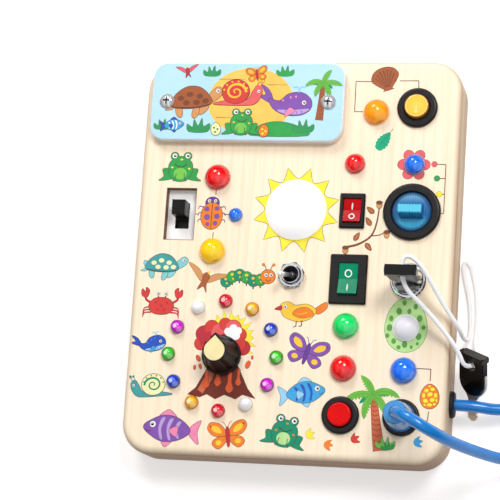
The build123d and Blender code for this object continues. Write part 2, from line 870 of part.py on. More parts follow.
def rocker_switch(x, y, bezel_width, bezel_height, button_width, button_length):
    """Bezel with its body, and the button that rocks in it about an axis along X."""
    bezel_top = face_z + rocker_bezel_thickness
    well_width = button_width + 2 * moving_gap
    well_length = button_length + 2 * moving_gap
    with BuildPart() as bezel:
        with BuildSketch(Plane.XY.offset(face_z)):
            with Locations((x, y)):
                RectangleRounded(bezel_width, bezel_height, rocker_bezel_edge)
        extrude(amount=rocker_bezel_thickness)
        chamfer(bezel.faces().sort_by(Axis.Z)[-1].edges(), rocker_bezel_edge)
        with BuildSketch(Plane.XY.offset(face_z - rocker_body_depth)):
            with Locations((x, y)):
                Rectangle(bezel_width - 2 * rocker_body_inset, bezel_height - 2 * rocker_body_inset)
        extrude(amount=rocker_body_depth)
        # The button's well, with a round floor that its underside swings over
        pivot_z = face_z + rocker_pivot_height
        with BuildSketch(Plane.YZ.offset(x - well_width / 2)):
            with Locations((y, pivot_z)):
                Circle(well_length / 2)
            with Locations((y, (pivot_z + bezel_top) / 2)):
                Rectangle(well_length, bezel_top - pivot_z)
        extrude(amount=well_width, mode=Mode.SUBTRACT)
        # Three blade terminals
        with BuildSketch(Plane.XY.offset(face_z - rocker_body_depth)):
            with Locations((x, y)):
                with GridLocations(0, bezel_height / 4, 1, 3):
                    Rectangle(4.8, 0.8)
        extrude(amount=-5.0)
    reach = button_length / 2
    pressed = (0, cos(radians(rocker_tilt)), -sin(radians(rocker_tilt)))
    swing = Plane((x - button_width / 2, y, pivot_z), x_dir=pressed, z_dir=(1, 0, 0))
    with BuildPart() as button:
        with BuildSketch(swing):
            Circle(reach)
            # Above the rim the two halves slope up from the middle, as a shallow V
            end = (reach * cos(radians(rocker_rise)), reach * sin(radians(rocker_rise)))
            with BuildLine():
                Polyline(
                    (0, rocker_pivot_height),
                    end,
                    (reach, reach + 1),
                    (-reach, reach + 1),
                    (-end[0], end[1]),
                    close=True,
                )
            make_face(mode=Mode.SUBTRACT)
            with Locations((0, -reach)):
                Rectangle(2 * reach, 2 * (reach - rocker_well / 2), mode=Mode.SUBTRACT)
        extrude(amount=button_width)
    return bezel.part, button.part


red_rocker_bezel, red_rocker_button = rocker_switch(
    middle_x, lamp_row, red_bezel_width, red_bezel_height, red_button_width, red_button_length
)
green_rocker_bezel, green_rocker_button = rocker_switch(
    middle_x, lock_row, green_bezel_width, green_bezel_height, green_button_width, green_button_length
)

# ---------------------------------------------------------------- rotary light switch
with BuildPart() as rotary_bezel:
    rotary_top = face_z + rotary_bezel_height
    rotary_floor = face_z + rotary_disc_rise - rotary_disc_thickness - running_gap
    rotary_bottom = face_z - rotary_depth
    well = rotary_disc_radius + moving_gap
    with BuildSketch(upright(right_x, lamp_row)):
        with BuildLine():
            Polyline(
                (rotary_bezel_radius - rotary_bezel_edge, rotary_top),
                (well + 0.5, rotary_top),
                (well, rotary_top - 0.5),
                (well, rotary_floor),
                (rotary_shaft_radius + running_gap, rotary_floor),
                (rotary_shaft_radius + running_gap, rotary_bottom + switch_floor),
                (0, rotary_bottom + switch_floor),
                (0, rotary_bottom),
                (rotary_body_radius, rotary_bottom),
                (rotary_body_radius, face_z),
                (rotary_bezel_radius, face_z),
                (rotary_bezel_radius, rotary_top - rotary_bezel_edge),
            )
            corner = (rotary_bezel_radius - rotary_bezel_edge, rotary_top - rotary_bezel_edge)
            CenterArc(corner, rotary_bezel_edge, 0, 90)
        make_face()
    revolve(axis=column(right_x, lamp_row))

with BuildPart() as rotary_knob:
    disc_top = face_z + rotary_disc_rise
    with BuildSketch(upright(right_x, lamp_row)):
        with BuildLine():
            Polyline(
                (0, disc_top),
                (0, rotary_bottom + switch_floor + moving_gap),
                (rotary_shaft_radius, rotary_bottom + switch_floor + moving_gap),
                (rotary_shaft_radius, disc_top - rotary_disc_thickness),
                (rotary_disc_radius, disc_top - rotary_disc_thickness),
                (rotary_disc_radius, disc_top - 0.5),
                (rotary_disc_radius - 0.5, disc_top),
                close=True,
            )
        make_face()
    revolve(axis=column(right_x, lamp_row))
    # The finger grip, and the ribs along its two slopes
    grip_spots = [(0.0, grip_length, 0.0)]
    for index in range(grip_ribs):
        offset_x = (index - (grip_ribs - 1) / 2) * grip_rib_pitch
        grip_spots.append((offset_x, grip_rib_width, grip_rib_rise))
    for offset_x, length, rise in grip_spots:
        with BuildSketch(Plane.YZ.offset(right_x + offset_x - length / 2)):
            with BuildLine():
                Polyline(
                    (lamp_row - grip_base_width / 2 - rise, disc_top - 0.5),
                    (lamp_row + grip_base_width / 2 + rise, disc_top - 0.5),
                    (lamp_row + grip_top_width / 2 + rise, disc_top + grip_height - rise),
                    (lamp_row - grip_top_width / 2 - rise, disc_top + grip_height - rise),
                    close=True,
                )
            make_face()
        extrude(amount=length)

# ---------------------------------------------------------------- push buttons


def push_button(x, y, bezel_radius, cap_radius):
    """Bezel with its body, the cap that travels down into it, and the spring under the cap."""
    bezel_top = face_z + push_bezel_height
    well_floor = bezel_top - push_well
    cap_top = bezel_top + push_cap_rise
    cap_bottom = well_floor + push_spring_room + push_travel
    body_bottom = face_z - push_depth
    stem_floor = body_bottom + switch_floor
    stem_bottom = stem_floor + moving_gap + push_travel
    well_radius = cap_radius + moving_gap / 2
    with BuildPart() as bezel:
        with BuildSketch(upright(x, y)):
            with BuildLine():
                Polyline(
                    (bezel_radius - push_bezel_edge, bezel_top),
                    (well_radius + 0.6, bezel_top),
                    (well_radius, bezel_top - 0.6),
                    (well_radius, well_floor),
                    (push_stem_radius + running_gap, well_floor),
                    (push_stem_radius + running_gap, stem_floor),
                    (0, stem_floor),
                    (0, body_bottom),
                    (push_body_radius, body_bottom),
                    (push_body_radius, face_z),
                    (bezel_radius, face_z),
                    (bezel_radius, bezel_top - push_bezel_edge),
                )
                edge_centre = (bezel_radius - push_bezel_edge, bezel_top - push_bezel_edge)
                CenterArc(edge_centre, push_bezel_edge, 0, 90)
            make_face()
        revolve(axis=column(x, y))
    with BuildPart() as cap:
        with BuildSketch(upright(x, y)):
            with BuildLine():
                Polyline(
                    (0, cap_top),
                    (0, stem_bottom),
                    (push_stem_radius, stem_bottom),
                    (push_stem_radius, cap_bottom),
                    (cap_radius, cap_bottom),
                    (cap_radius, cap_top - push_cap_edge),
                )
                CenterArc((cap_radius - push_cap_edge, cap_top - push_cap_edge), push_cap_edge, 0, 90)
                Line((cap_radius - push_cap_edge, cap_top), (0, cap_top))
            make_face()
        revolve(axis=column(x, y))
    spring_height = cap_bottom - well_floor - push_spring_wire
    with BuildPart() as spring:
        with BuildLine():
            coil = Helix(
                pitch=spring_height / push_spring_turns,
                height=spring_height,
                radius=push_spring_radius,
                center=(x, y, well_floor + push_spring_wire / 2),
            )
        with BuildSketch(Plane(coil @ 0, x_dir=(1, 0, 0), z_dir=(0, 1, 0))):
            Rectangle(push_spring_wire, push_spring_wire * 0.8)
        sweep(is_frenet=True)
    return bezel.part, cap.part, spring.part


yellow_button_bezel, yellow_button_cap, yellow_button_spring = push_button(
    right_x, yellow_row, yellow_bezel_radius, yellow_cap_radius
)
red_button_bezel, red_button_cap, red_button_spring = push_button(
    middle_x, jack_row, red_push_bezel_radius, red_push_cap_radius
)

# ---------------------------------------------------------------- key lock and keys
lock_front = face_z + lock_front_height
lock_bottom = face_z - lock_depth
plug_front = lock_front - lock_plug_recess

with BuildPart() as key_lock_barrel:
    with BuildSketch(upright(right_x, lock_row)):
        with BuildLine():
            Polyline(
                (lock_plug_radius + running_gap, lock_front - 0.8),
                (lock_plug_radius + running_gap, lock_bottom + switch_floor),
                (0, lock_bottom + switch_floor),
                (0, lock_bottom),
                (lock_body_radius, lock_bottom),
                (lock_body_radius, face_z),
                (lock_base_radius, face_z),
                (lock_base_radius, face_z + lock_base_height - 0.5),
                (lock_base_radius - 0.5, face_z + lock_base_height),
                (lock_front_radius, face_z + lock_base_height),
                (lock_front_radius, lock_front - 0.6),
                (lock_front_radius - 0.6, lock_front),
                (lock_front_radius - 1.2, lock_front),
                (lock_front_radius - 1.4, lock_front - 0.8),
                close=True,
            )
        make_face()
    revolve(axis=column(right_x, lock_row))

blade_tip_z = plug_front + bow_lift - blade_length
cylinder_bottom = lock_bottom + switch_floor + moving_gap
with BuildPart() as key_lock_cylinder:
    with BuildSketch(Plane.XY.offset(cylinder_bottom)):
        with Locations((right_x, lock_row)):
            Circle(lock_plug_radius)
    extrude(amount=plug_front - cylinder_bottom)
    with BuildSketch(Plane.XY.offset(blade_tip_z - keyway_gap)):
        with Locations((right_x, lock_row)):
            Rectangle(blade_width + 2 * keyway_gap, blade_thickness + 2 * keyway_gap)
    extrude(amount=plug_front - blade_tip_z + keyway_gap, mode=Mode.SUBTRACT)


def rounded_head(margin, top):
    """Outline of a key's head: straight sides and a half ellipse at the foot, grown by a margin."""
    half = bow_width / 2 + margin
    with BuildSketch(mode=Mode.PRIVATE) as head:
        with Locations((0, bow_round)):
            Ellipse(half, bow_round + margin)
        with Locations((0, (bow_round + top) / 2)):
            Rectangle(2 * half, top - bow_round)
        with Locations((0, top + bow_height)):
            Rectangle(4 * half, 2 * bow_height, mode=Mode.SUBTRACT)
    return head.sketch


def key(stand):
    """Metal blade and moulded bow of a key. The plane's origin is the bow's foot, its y the key's length.

    The metal's flat head lies in the bow and stands a little proud of it at both sides and round the foot.
    """
    with BuildPart() as blade:
        with BuildSketch(stand):
            add(rounded_head(head_margin, head_height))
            with BuildLine():
                Polyline(
                    (-blade_shoulder / 2, 1.0),
                    (-blade_width / 2, -blade_shoulder_drop),
                    (-blade_width / 2, 1.5 - blade_length),
                    (0, -blade_length),
                    (blade_width / 2, 1.5 - blade_length),
                    (blade_width / 2, -blade_shoulder_drop),
                    (blade_shoulder / 2, 1.0),
                    close=True,
                )
            make_face()
            for index in range(blade_notches):
                with Locations((blade_width / 2, 4 - blade_length + index * blade_notch_pitch)):
                    RegularPolygon(blade_notch * (1 + 0.25 * (index % 2)), 4, mode=Mode.SUBTRACT)
        extrude(amount=blade_thickness / 2, both=True)
    with BuildPart() as bow:
        with BuildSketch(stand):
            add(rounded_head(0, bow_height))
        extrude(amount=bow_thickness / 2, both=True)
        flanks = bow.faces().filter_by(Axis((0, 0, 0), stand.z_dir))
        chamfer(flanks.edges(), bow_edge)
        with BuildSketch(stand):
            with Locations((0, bow_height - bow_bar_height / 2)):
                RectangleRounded(bow_width, bow_bar_height, bow_corner)
        extrude(amount=bow_bar_thickness / 2, both=True)
        with BuildSketch(stand):
            with Locations((0, bow_height - bow_hole_drop)):
                Circle(bow_hole_radius)
        extrude(amount=bow_thickness, both=True, mode=Mode.SUBTRACT)
        with BuildSketch(stand):
            add(rounded_head(head_margin, head_height))
        extrude(amount=blade_thickness / 2, both=True, mode=Mode.SUBTRACT)
    return blade.part, bow.part


bow_foot_z = plug_front + bow_lift
key_blade, key_bow = key(Plane((right_x, lock_row, bow_foot_z), x_dir=(1, 0, 0), z_dir=(0, -1, 0)))

# The spare key hangs on the string beside the board, rolled over, with only its tip on the ground
flat = radians(spare_key_turn)
pitch = radians(spare_key_pitch)
roll = radians(spare_key_roll)
spare_length_way = Vector(sin(flat) * cos(pitch), cos(flat) * cos(pitch), sin(pitch))
level_way = Vector(cos(flat), -sin(flat), 0)
spare_width_way = level_way * cos(roll) + level_way.cross(spare_length_way) * sin(roll)
spare_face_way = spare_width_way.cross(spare_length_way)
spare_foot = Vector(spare_key_x, spare_key_y, blade_length * sin(pitch) + spare_tip_radius)
spare_plane = Plane(spare_foot, x_dir=spare_width_way, z_dir=spare_face_way)
spare_key_blade, spare_key_bow = key(spare_plane)

# ---------------------------------------------------------------- selector knob and its switch
knob_bottom = face_z + knob_lift
skirt_top = knob_bottom + knob_skirt_height
knob_top = face_z + knob_height


def teardrop(radius, tip):
    """Outline of a circle with a point drawn out of it towards +y, its two flanks tangent to the circle."""
    lean = radius / tip
    touch = (radius * (1 - lean**2) ** 0.5, radius * lean)
    Polyline((-touch[0], touch[1]), (0, tip), touch)
    ThreePointArc(touch, (0, -radius), (-touch[0], touch[1]))


with BuildPart() as pointer_knob:
    with BuildSketch(Plane((ring_x, ring_row, skirt_top))):
        Circle(knob_body_radius)
    with BuildSketch(Plane((ring_x, ring_row, knob_top))):
        with BuildLine():
            teardrop(knob_top_radius, knob_tip)
        make_face()
    loft()
    # Finger grooves down the cone, none under the pointer
    slope = (knob_body_radius - knob_top_radius) / (knob_top - skirt_top)
    for index in range(1, knob_grooves):
        bearing = 90 + index * 360 / knob_grooves
        out = Vector(cos(radians(bearing)), sin(radians(bearing)), 0)
        groove_reach = knob_body_radius + knob_groove_radius - knob_groove_depth
        foot = Vector(ring_x, ring_row, skirt_top) + out * groove_reach
        run = (Vector(0, 0, 1) - out * slope).normalized()
        with BuildSketch(Plane(foot, z_dir=run)):
            Circle(knob_groove_radius)
        extrude(amount=knob_height + 2, mode=Mode.SUBTRACT)
    with BuildSketch(Plane((ring_x, ring_row, knob_bottom))):
        Circle(knob_skirt_radius)
    extrude(amount=knob_skirt_height)
    # Pocket for the pale pointer, hollow for the nut, and the bore for the shaft
    with BuildSketch(Plane((ring_x, ring_row, knob_top - knob_pocket))):
        with BuildLine():
            pocket_tip = knob_tip - 1.5 * pointer_margin + seat_gap / 2
            teardrop(knob_top_radius - pointer_margin + seat_gap / 2, pocket_tip)
        make_face()
    extrude(amount=knob_pocket, mode=Mode.SUBTRACT)
    with BuildSketch(Plane((ring_x, ring_row, knob_bottom))):
        Circle(selector_nut_flats / 2 / cos(radians(30)) + 2 * moving_gap)
    extrude(amount=selector_bushing_height + moving_gap, mode=Mode.SUBTRACT)
    with BuildSketch(Plane((ring_x, ring_row, knob_bottom))):
        Circle(selector_shaft_radius)
    extrude(amount=knob_top - 2 * knob_pocket - 1 - knob_bottom, mode=Mode.SUBTRACT)

with BuildPart() as pointer_insert:
    with BuildSketch(Plane((ring_x, ring_row, knob_top - knob_pocket))):
        with BuildLine():
            teardrop(knob_top_radius - pointer_margin, knob_tip - 1.5 * pointer_margin)
        make_face()
    extrude(amount=knob_pocket + pointer_rise)

selector_bottom = inner_z - selector_body_depth
with BuildPart() as selector_switch:
    with BuildSketch(Plane((ring_x, ring_row, selector_bottom))):
        Circle(selector_body_radius)
    extrude(amount=selector_body_depth)
    with BuildSketch(Plane((ring_x, ring_row, inner_z))):
        Circle(selector_bushing_radius)
    extrude(amount=face_panel + selector_bushing_height)
    with BuildSketch(Plane((ring_x, ring_row, selector_bottom + 2))):
        Circle(selector_shaft_radius + running_gap)
    extrude(amount=face_panel + selector_bushing_height + selector_body_depth, mode=Mode.SUBTRACT)
    with BuildSketch(Plane((ring_x, ring_row, selector_bottom))):
        with PolarLocations(selector_body_radius - 2, 12):
            Rectangle(0.8, 1.8)
    extrude(amount=-3.0)

with BuildPart() as selector_shaft:
    with BuildSketch(Plane((ring_x, ring_row, selector_bottom + 2 + moving_gap))):
        Circle(selector_shaft_radius)
    extrude(amount=knob_top - 2 * knob_pocket - 1 - selector_bottom - 2 - moving_gap)

# ---------------------------------------------------------------- jack socket, plug and grommet
jack_top = face_z + jack_bezel_height
jack_bottom = face_z - jack_depth
with BuildPart() as jack_socket:
    with BuildSketch(upright(right_x, jack_row)):
        with BuildLine():
            Polyline(
                (jack_bezel_radius - jack_bezel_edge, jack_top),
                (jack_bore_radius, jack_top),
                (jack_bore_radius, jack_bottom + 2),
                (0, jack_bottom + 2),
                (0, jack_bottom),
                (jack_body_radius, jack_bottom),
                (jack_body_radius, face_z),
                (jack_bezel_radius, face_z),
                (jack_bezel_radius, jack_top - jack_bezel_edge),
            )
            corner = (jack_bezel_radius - jack_bezel_edge, jack_top - jack_bezel_edge)
            CenterArc(corner, jack_bezel_edge, 0, 90)
        make_face()
    revolve(axis=column(right_x, jack_row))

shell_bottom = jack_top + plug_lift
shell_top = shell_bottom + plug_shell_height
with BuildPart() as jack_plug_pin:
    with BuildSketch(upright(right_x, jack_row)):
        nose = shell_bottom - (jack_depth - 2 + jack_bezel_height)
        with BuildLine():
            Polyline(
                (0, shell_bottom + 4),
                (0, nose),
                (plug_pin_radius * 0.5, nose + 0.8),
                (plug_pin_radius, nose + 2.6),
                (plug_pin_radius * 0.75, nose + 3.8),
                (plug_pin_radius, nose + 4.8),
                (plug_pin_radius, shell_bottom + 4),
                close=True,
            )
        make_face()
        for ring in (nose + 5.6, nose + 8.6):
            with Locations((plug_pin_radius, ring)):
                Rectangle(2 * plug_groove_depth, plug_groove_width, mode=Mode.SUBTRACT)
    revolve(axis=column(right_x, jack_row))

with BuildPart() as jack_plug_shell:
    with BuildSketch(upright(right_x, jack_row)):
        with BuildLine():
            Polyline(
                (0, shell_bottom + 4),
                (plug_pin_radius, shell_bottom + 4),
                (plug_pin_radius, shell_bottom),
                (plug_flare_radius - 0.8, shell_bottom),
                (plug_flare_radius, shell_bottom + 0.8),
            )
            ThreePointArc(
                (plug_flare_radius, shell_bottom + 0.8),
                (plug_shell_radius, shell_bottom + plug_shell_height * 0.45),
                (plug_neck_radius + 0.8, shell_top - 0.8),
            )
            Polyline(
                (plug_neck_radius + 0.8, shell_top - 0.8),
                (plug_neck_radius, shell_top),
                (cable_radius + running_gap, shell_top),
                (cable_radius + running_gap, shell_top - cable_socket),
                (0, shell_top - cable_socket),
                (0, shell_bottom + 4),
            )
        make_face()
    revolve(axis=column(right_x, jack_row))

outer_x = board_width / 2
with BuildPart() as side_grommet:
    with BuildSketch(Plane.YZ.offset(outer_x)):
        with Locations((grommet_y, grommet_z)):
            Circle(grommet_flange_radius)
    extrude(amount=grommet_flange)
    chamfer(side_grommet.faces().sort_by(Axis.X)[-1].edges(), 0.8)
    with BuildSketch(Plane.YZ.offset(outer_x)):
        with Locations((grommet_y, grommet_z)):
            Circle(grommet_barrel_radius)
    extrude(amount=-(wall + 1.5))
    with BuildSketch(Plane.YZ.offset(outer_x + grommet_flange)):
        with Locations((grommet_y, grommet_z)):
            Circle(cable_radius + running_gap)
    extrude(amount=-grommet_socket, mode=Mode.SUBTRACT)

# ---------------------------------------------------------------- nuts behind the face
with BuildPart() as panel_nuts:
    nut_z = inner_z - panel_nut_thickness
    for x, y, z, flats, thread_radius, turn in (
        (right_x, lamp_row, nut_z, rotary_nut_flats, rotary_body_radius, 30),
        (right_x, yellow_row, nut_z, push_nut_flats, push_body_radius, 0),
        (middle_x, jack_row, nut_z, push_nut_flats, push_body_radius, 0),
        (right_x, lock_row, nut_z, lock_nut_flats, lock_body_radius, 0),
        (right_x, jack_row, nut_z, jack_nut_flats, jack_body_radius, 0),
        (ring_x, ring_row, face_z, selector_nut_flats, selector_bushing_radius, 0),
    ):
        add(hex_nut(x, y, z, flats, thread_radius + running_gap, panel_nut_thickness, turn))

# ---------------------------------------------------------------- free cable and string


def bend_radii(route):
    """One radius for each corner: 0.45 of the shorter run, over the tangent of half the turn."""
    radii = []
    for before, corner, after in zip(route, route[1:], route[2:]):
        coming = Vector(*corner) - Vector(*before)
        going = Vector(*after) - Vector(*corner)
        turn = coming.get_angle(going)
        radii.append(0.45 * min(coming.length, going.length) / tan(radians(turn / 2)))
    return radii


def cord_tube(name, route, radius):
    """Round cord along straight runs joined by tangent arcs."""
    radii = bend_radii(route)
    with BuildPart() as tube:
        with BuildLine() as line:
            FilletPolyline(*route, radius=radii)
        path = line.wires()[0]
        with BuildSketch(Plane(path @ 0, z_dir=path % 0)):
            Circle(radius)
        sweep(path=path)
    share = tube.part.volume / (pi * radius**2 * path.length)
    print(name, "length", round(path.length, 1), "volume share", round(share, 4))
    print(name, "radii", [round(bend, 1) for bend in radii])
    return tube.part


cable_route = [
    (right_x, jack_row, shell_top - cable_socket),
    (right_x, jack_row, shell_top + 6.5),
    (78.8, -96.6, shell_top + 16.2),
    (90.4, -103.3, shell_top + 15.8),
    (102.0, -108.4, 57.0),
    (114.0, -111.1, 38.0),
    (126.5, -112.9, 20.5),
    (140.5, -113.2, 7.8),
    (156.5, -110.5, 3.9),
    (167.5, -99.5, 3.6),
    (166.2, -84.3, 3.6),
    (153.7, -75.5, 3.9),
    (139.0, -78.6, 5.4),
    (124.5, -84.0, 9.6),
    (108.5, grommet_y, grommet_z),
    (outer_x + grommet_flange - grommet_socket, grommet_y, grommet_z),
]
blue_cable = cord_tube("blue_cable", cable_route, cable_radius)

bow_hole_z = bow_foot_z + bow_height - bow_hole_drop
spare_hole = spare_foot + spare_length_way * (bow_height - bow_hole_drop)
string_rest_z = bow_hole_z - bow_hole_radius + string_radius + 2 * moving_gap
string_route = [
    (right_x, lock_row, string_rest_z),
    (70.6, -20.8, string_rest_z - 0.4),
    (81.9, -30.5, 46.0),
    (93.9, -43.7, 38.5),
    (101.1, -53.3, 33.0),
    tuple(spare_hole + spare_face_way * 7),
    tuple(spare_hole - spare_face_way * 8),
    (107.0, -47.2, 3.2),
    (107.4, -36.9, 1.5),
    (107.5, -22.0, 1.5),
    (106.9, -8.0, 1.5),
    (105.6, 4.2, 1.5),
    (99.9, 4.0, 1.5),
    (100.3, -6.0, 1.5),
    (102.2, -17.0, 1.5),
    (103.8, -30.0, 1.5),
    (103.8, -41.5, 1.9),
    (101.9, -44.0, 12.0),
    (100.6, -39.5, 31.0),
    (94.6, -31.2, 37.0),
    (89.4, -23.1, 43.0),
    (84.1, -13.8, 50.0),
    (79.4, -7.2, bow_hole_z - 1.6),
    (74.2, -3.4, bow_hole_z + 0.6),
    (right_x - 0.2, -4.6, bow_hole_z + 0.8),
    (right_x, lock_row + 0.1, string_rest_z),
]
key_string = cord_tube("key_string", string_route, string_radius)

# ---------------------------------------------------------------- files
pieces = {
    "wood_housing": wood_housing.part,
    "back_panel": back_panel.part,
    "cover_plate": cover_plate.part,
    "cover_screws": cover_screws.part,
    "cover_inserts": cover_inserts.part,
    "battery_tray": battery_tray.part,
    "battery_cells": battery_cells.part,
    "battery_contacts": battery_contacts.part,
    "dome_lenses_red": dome_lenses_red.part,
    "dome_lens_yellow": dome_lens_yellow.part,
    "dome_lens_orange": dome_lens_orange.part,
    "dome_lens_green": dome_lens_green.part,
    "dome_lenses_blue": dome_lenses_blue.part,
    "dome_lens_frosted": dome_lens_frosted.part,
    "ring_leds_red": ring_leds_red.part,
    "ring_leds_gold": ring_leds_gold.part,
    "ring_leds_blue": ring_leds_blue.part,
    "ring_leds_green": ring_leds_green.part,
    "ring_leds_magenta": ring_leds_magenta.part,
    "ring_leds_white": ring_leds_white.part,
    "sun_lamp_dome": sun_lamp_dome.part,
    "circuit_boards": circuit_boards.part,
    "slide_switch_plate": slide_switch_plate.part,
    "slide_switch_body": slide_switch_body.part,
    "slide_switch_slider": slide_switch_slider.part,
    "toggle_body": toggle_body.part,
    "toggle_bushing": toggle_bushing.part,
    "toggle_washer": toggle_washer.part,
    "toggle_nut": toggle_nut.part,
    "toggle_lever": toggle_lever.part,
    "red_rocker_bezel": red_rocker_bezel,
    "red_rocker_button": red_rocker_button,
    "green_rocker_bezel": green_rocker_bezel,
    "green_rocker_button": green_rocker_button,
    "rotary_bezel": rotary_bezel.part,
    "rotary_knob": rotary_knob.part,
    "yellow_button_bezel": yellow_button_bezel,
    "yellow_button_cap": yellow_button_cap,
    "red_button_bezel": red_button_bezel,
    "red_button_cap": red_button_cap,
    "yellow_button_spring": yellow_button_spring,
    "red_button_spring": red_button_spring,
    "key_lock_barrel": key_lock_barrel.part,
    "key_lock_cylinder": key_lock_cylinder.part,
    "key_blade": key_blade,
    "key_bow": key_bow,
    "spare_key_blade": spare_key_blade,
    "spare_key_bow": spare_key_bow,
    "key_string": key_string,
    "pointer_knob": pointer_knob.part,
    "pointer_insert": pointer_insert.part,
    "selector_shaft": selector_shaft.part,
    "selector_switch": selector_switch.part,
    "panel_nuts": panel_nuts.part,
    "jack_socket": jack_socket.part,
    "jack_plug_pin": jack_plug_pin.part,
    "jack_plug_shell": jack_plug_shell.part,
    "blue_cable": blue_cable,
    "side_grommet": side_grommet.part,
}

os.makedirs("parts", exist_ok=True)
for name, piece in pieces.items():
    piece.label = name
    export_step(piece, f"parts/{name}.step")
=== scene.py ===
"""Looks of the wooden busy board: camera, free cords, finishes, printed figures and small trim.

Blender's own numbers are in metres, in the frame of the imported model. Routes, places and figures are given in
millimetres, and lists of points as text: "x,y x,y". Prints become thin closed slabs on their flat side.
"""

from math import cos, hypot, pi, radians, sin

import bmesh
import bpy
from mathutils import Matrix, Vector
from mathutils.bvhtree import BVHTree
from mathutils.geometry import tessellate_polygon


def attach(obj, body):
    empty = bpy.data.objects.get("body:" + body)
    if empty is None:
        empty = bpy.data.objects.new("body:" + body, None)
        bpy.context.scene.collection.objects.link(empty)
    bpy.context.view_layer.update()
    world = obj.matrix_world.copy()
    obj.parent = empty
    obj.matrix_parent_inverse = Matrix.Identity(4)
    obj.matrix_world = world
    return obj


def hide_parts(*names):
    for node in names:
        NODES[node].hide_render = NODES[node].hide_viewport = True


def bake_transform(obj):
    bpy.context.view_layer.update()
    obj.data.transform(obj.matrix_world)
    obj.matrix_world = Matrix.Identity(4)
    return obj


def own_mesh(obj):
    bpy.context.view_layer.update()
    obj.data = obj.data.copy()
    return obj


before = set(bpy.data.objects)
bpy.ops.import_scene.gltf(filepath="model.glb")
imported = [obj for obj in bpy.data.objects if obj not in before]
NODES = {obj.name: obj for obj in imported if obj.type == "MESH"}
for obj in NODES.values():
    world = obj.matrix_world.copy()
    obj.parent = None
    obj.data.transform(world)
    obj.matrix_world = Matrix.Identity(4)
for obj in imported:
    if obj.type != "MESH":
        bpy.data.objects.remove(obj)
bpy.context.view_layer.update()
MM = 0.001


# ---------- camera
camera_data = bpy.data.cameras.new("camera")
camera = bpy.data.objects.new("camera", camera_data)
bpy.context.scene.collection.objects.link(camera)
bpy.context.scene.camera = camera
camera_data.sensor_fit = "HORIZONTAL"
camera_data.sensor_width = 36.0
camera_data.lens = 155.32
camera_data.shift_x = 0.03896
camera_data.shift_y = -0.02546
camera_data.clip_start = 0.05
camera_data.clip_end = 20.0
camera.location = (0.25554, -0.24631, 1.2502)
camera.rotation_euler = [radians(a) for a in (12.4888, 12.6731, 4.0474)]


# ---------- points and meshes
def dots(text, side=1):
    """Groups of numbers written as "x,y x,y", with x mirrored where side is -1."""
    rows = [[float(c) for c in group.split(",")] for group in text.split()]
    return [(side * x, *rest) for x, *rest in rows]


def polar(reach, angle, x=0.0, y=0.0):
    """The point at a distance and an angle in radians from (x, y)."""
    return x + reach * cos(angle), y + reach * sin(angle)


def ring(bm, points, z):
    """Vertices of a closed outline at one height, all in millimetres."""
    return [bm.verts.new((x * MM, y * MM, z * MM)) for x, y in points]


def band(bm, low, high):
    """Faces between two closed rings of the same length."""
    for i in range(len(low)):
        j = (i + 1) % len(low)
        bm.faces.new((low[i], low[j], high[j], high[i]))


def loft(bm, rings, closed=False):
    """Faces between each ring and the next one, and back to the first where closed."""
    for low, high in zip(rings, rings[1:] + rings[:1] if closed else rings[1:]):
        band(bm, low, high)


def mesh_object(name, bm, body="board", smooth=True):
    """A finished bmesh as an object that rides on a body."""
    data = bpy.data.meshes.new(name)
    bmesh.ops.recalc_face_normals(bm, faces=bm.faces)
    bm.to_mesh(data)
    bm.free()
    if smooth:
        data.shade_smooth()
        data.set_sharp_from_angle(angle=radians(35))
    obj = bpy.data.objects.new(name, data)
    bpy.context.scene.collection.objects.link(obj)
    if body:
        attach(obj, body)
    return obj


def give(obj, material):
    obj.data.materials.clear()
    obj.data.materials.append(material)
    return obj


# ---------- free cords
def nurbs_line(route):
    """Points read from the smooth line of a route given in millimetres."""
    curve = bpy.data.curves.new("route", "CURVE")
    curve.dimensions = "3D"
    spline = curve.splines.new("NURBS")
    spline.points.add(len(route) - 1)
    for point, (x, y, z) in zip(spline.points, route):
        point.co = (x * MM, y * MM, z * MM, 1.0)
    spline.order_u = 3
    spline.use_endpoint_u = True
    spline.resolution_u = 12
    holder = bpy.data.objects.new("route", curve)
    line = bpy.data.meshes.new_from_object(holder)
    points = [v.co.copy() for v in line.vertices]
    bpy.data.objects.remove(holder)
    bpy.data.curves.remove(curve)
    bpy.data.meshes.remove(line)
    return points


def tube(name, points, radius, sides):
    """A round tube with closed ends along points, with turns and length in its UVs."""
    bm = bmesh.new()
    layer = bm.loops.layers.uv.new("UVMap")
    tangents = []
    for i in range(len(points)):
        a, b = points[max(i - 1, 0)], points[min(i + 1, len(points) - 1)]
        tangents.append((b - a).normalized())
    side = tangents[0].orthogonal().normalized()
    rings, run, runs = [], 0.0, []
    for i, (p, t) in enumerate(zip(points, tangents)):
        if i:
            side = (tangents[i - 1].rotation_difference(t) @ side).normalized()
            run += (p - points[i - 1]).length
        runs.append(run)
        up = t.cross(side).normalized()
        turns = [2 * pi * k / sides for k in range(sides)]
        rings.append([bm.verts.new(p + (side * cos(a) + up * sin(a)) * radius) for a in turns])
    for i in range(len(rings) - 1):
        for k in range(sides):
            j = (k + 1) % sides
            face = bm.faces.new((rings[i][k], rings[i][j], rings[i + 1][j], rings[i + 1][k]))
            spots = ((k, runs[i]), (k + 1, runs[i]), (k + 1, runs[i + 1]), (k, runs[i + 1]))
            for loop, (turn, length) in zip(face.loops, spots):
                loop[layer].uv = (turn / sides, length / (2 * pi * radius))
    bm.faces.new(rings[0])
    bm.faces.new(rings[-1])
    return mesh_object(name, bm, body=None)


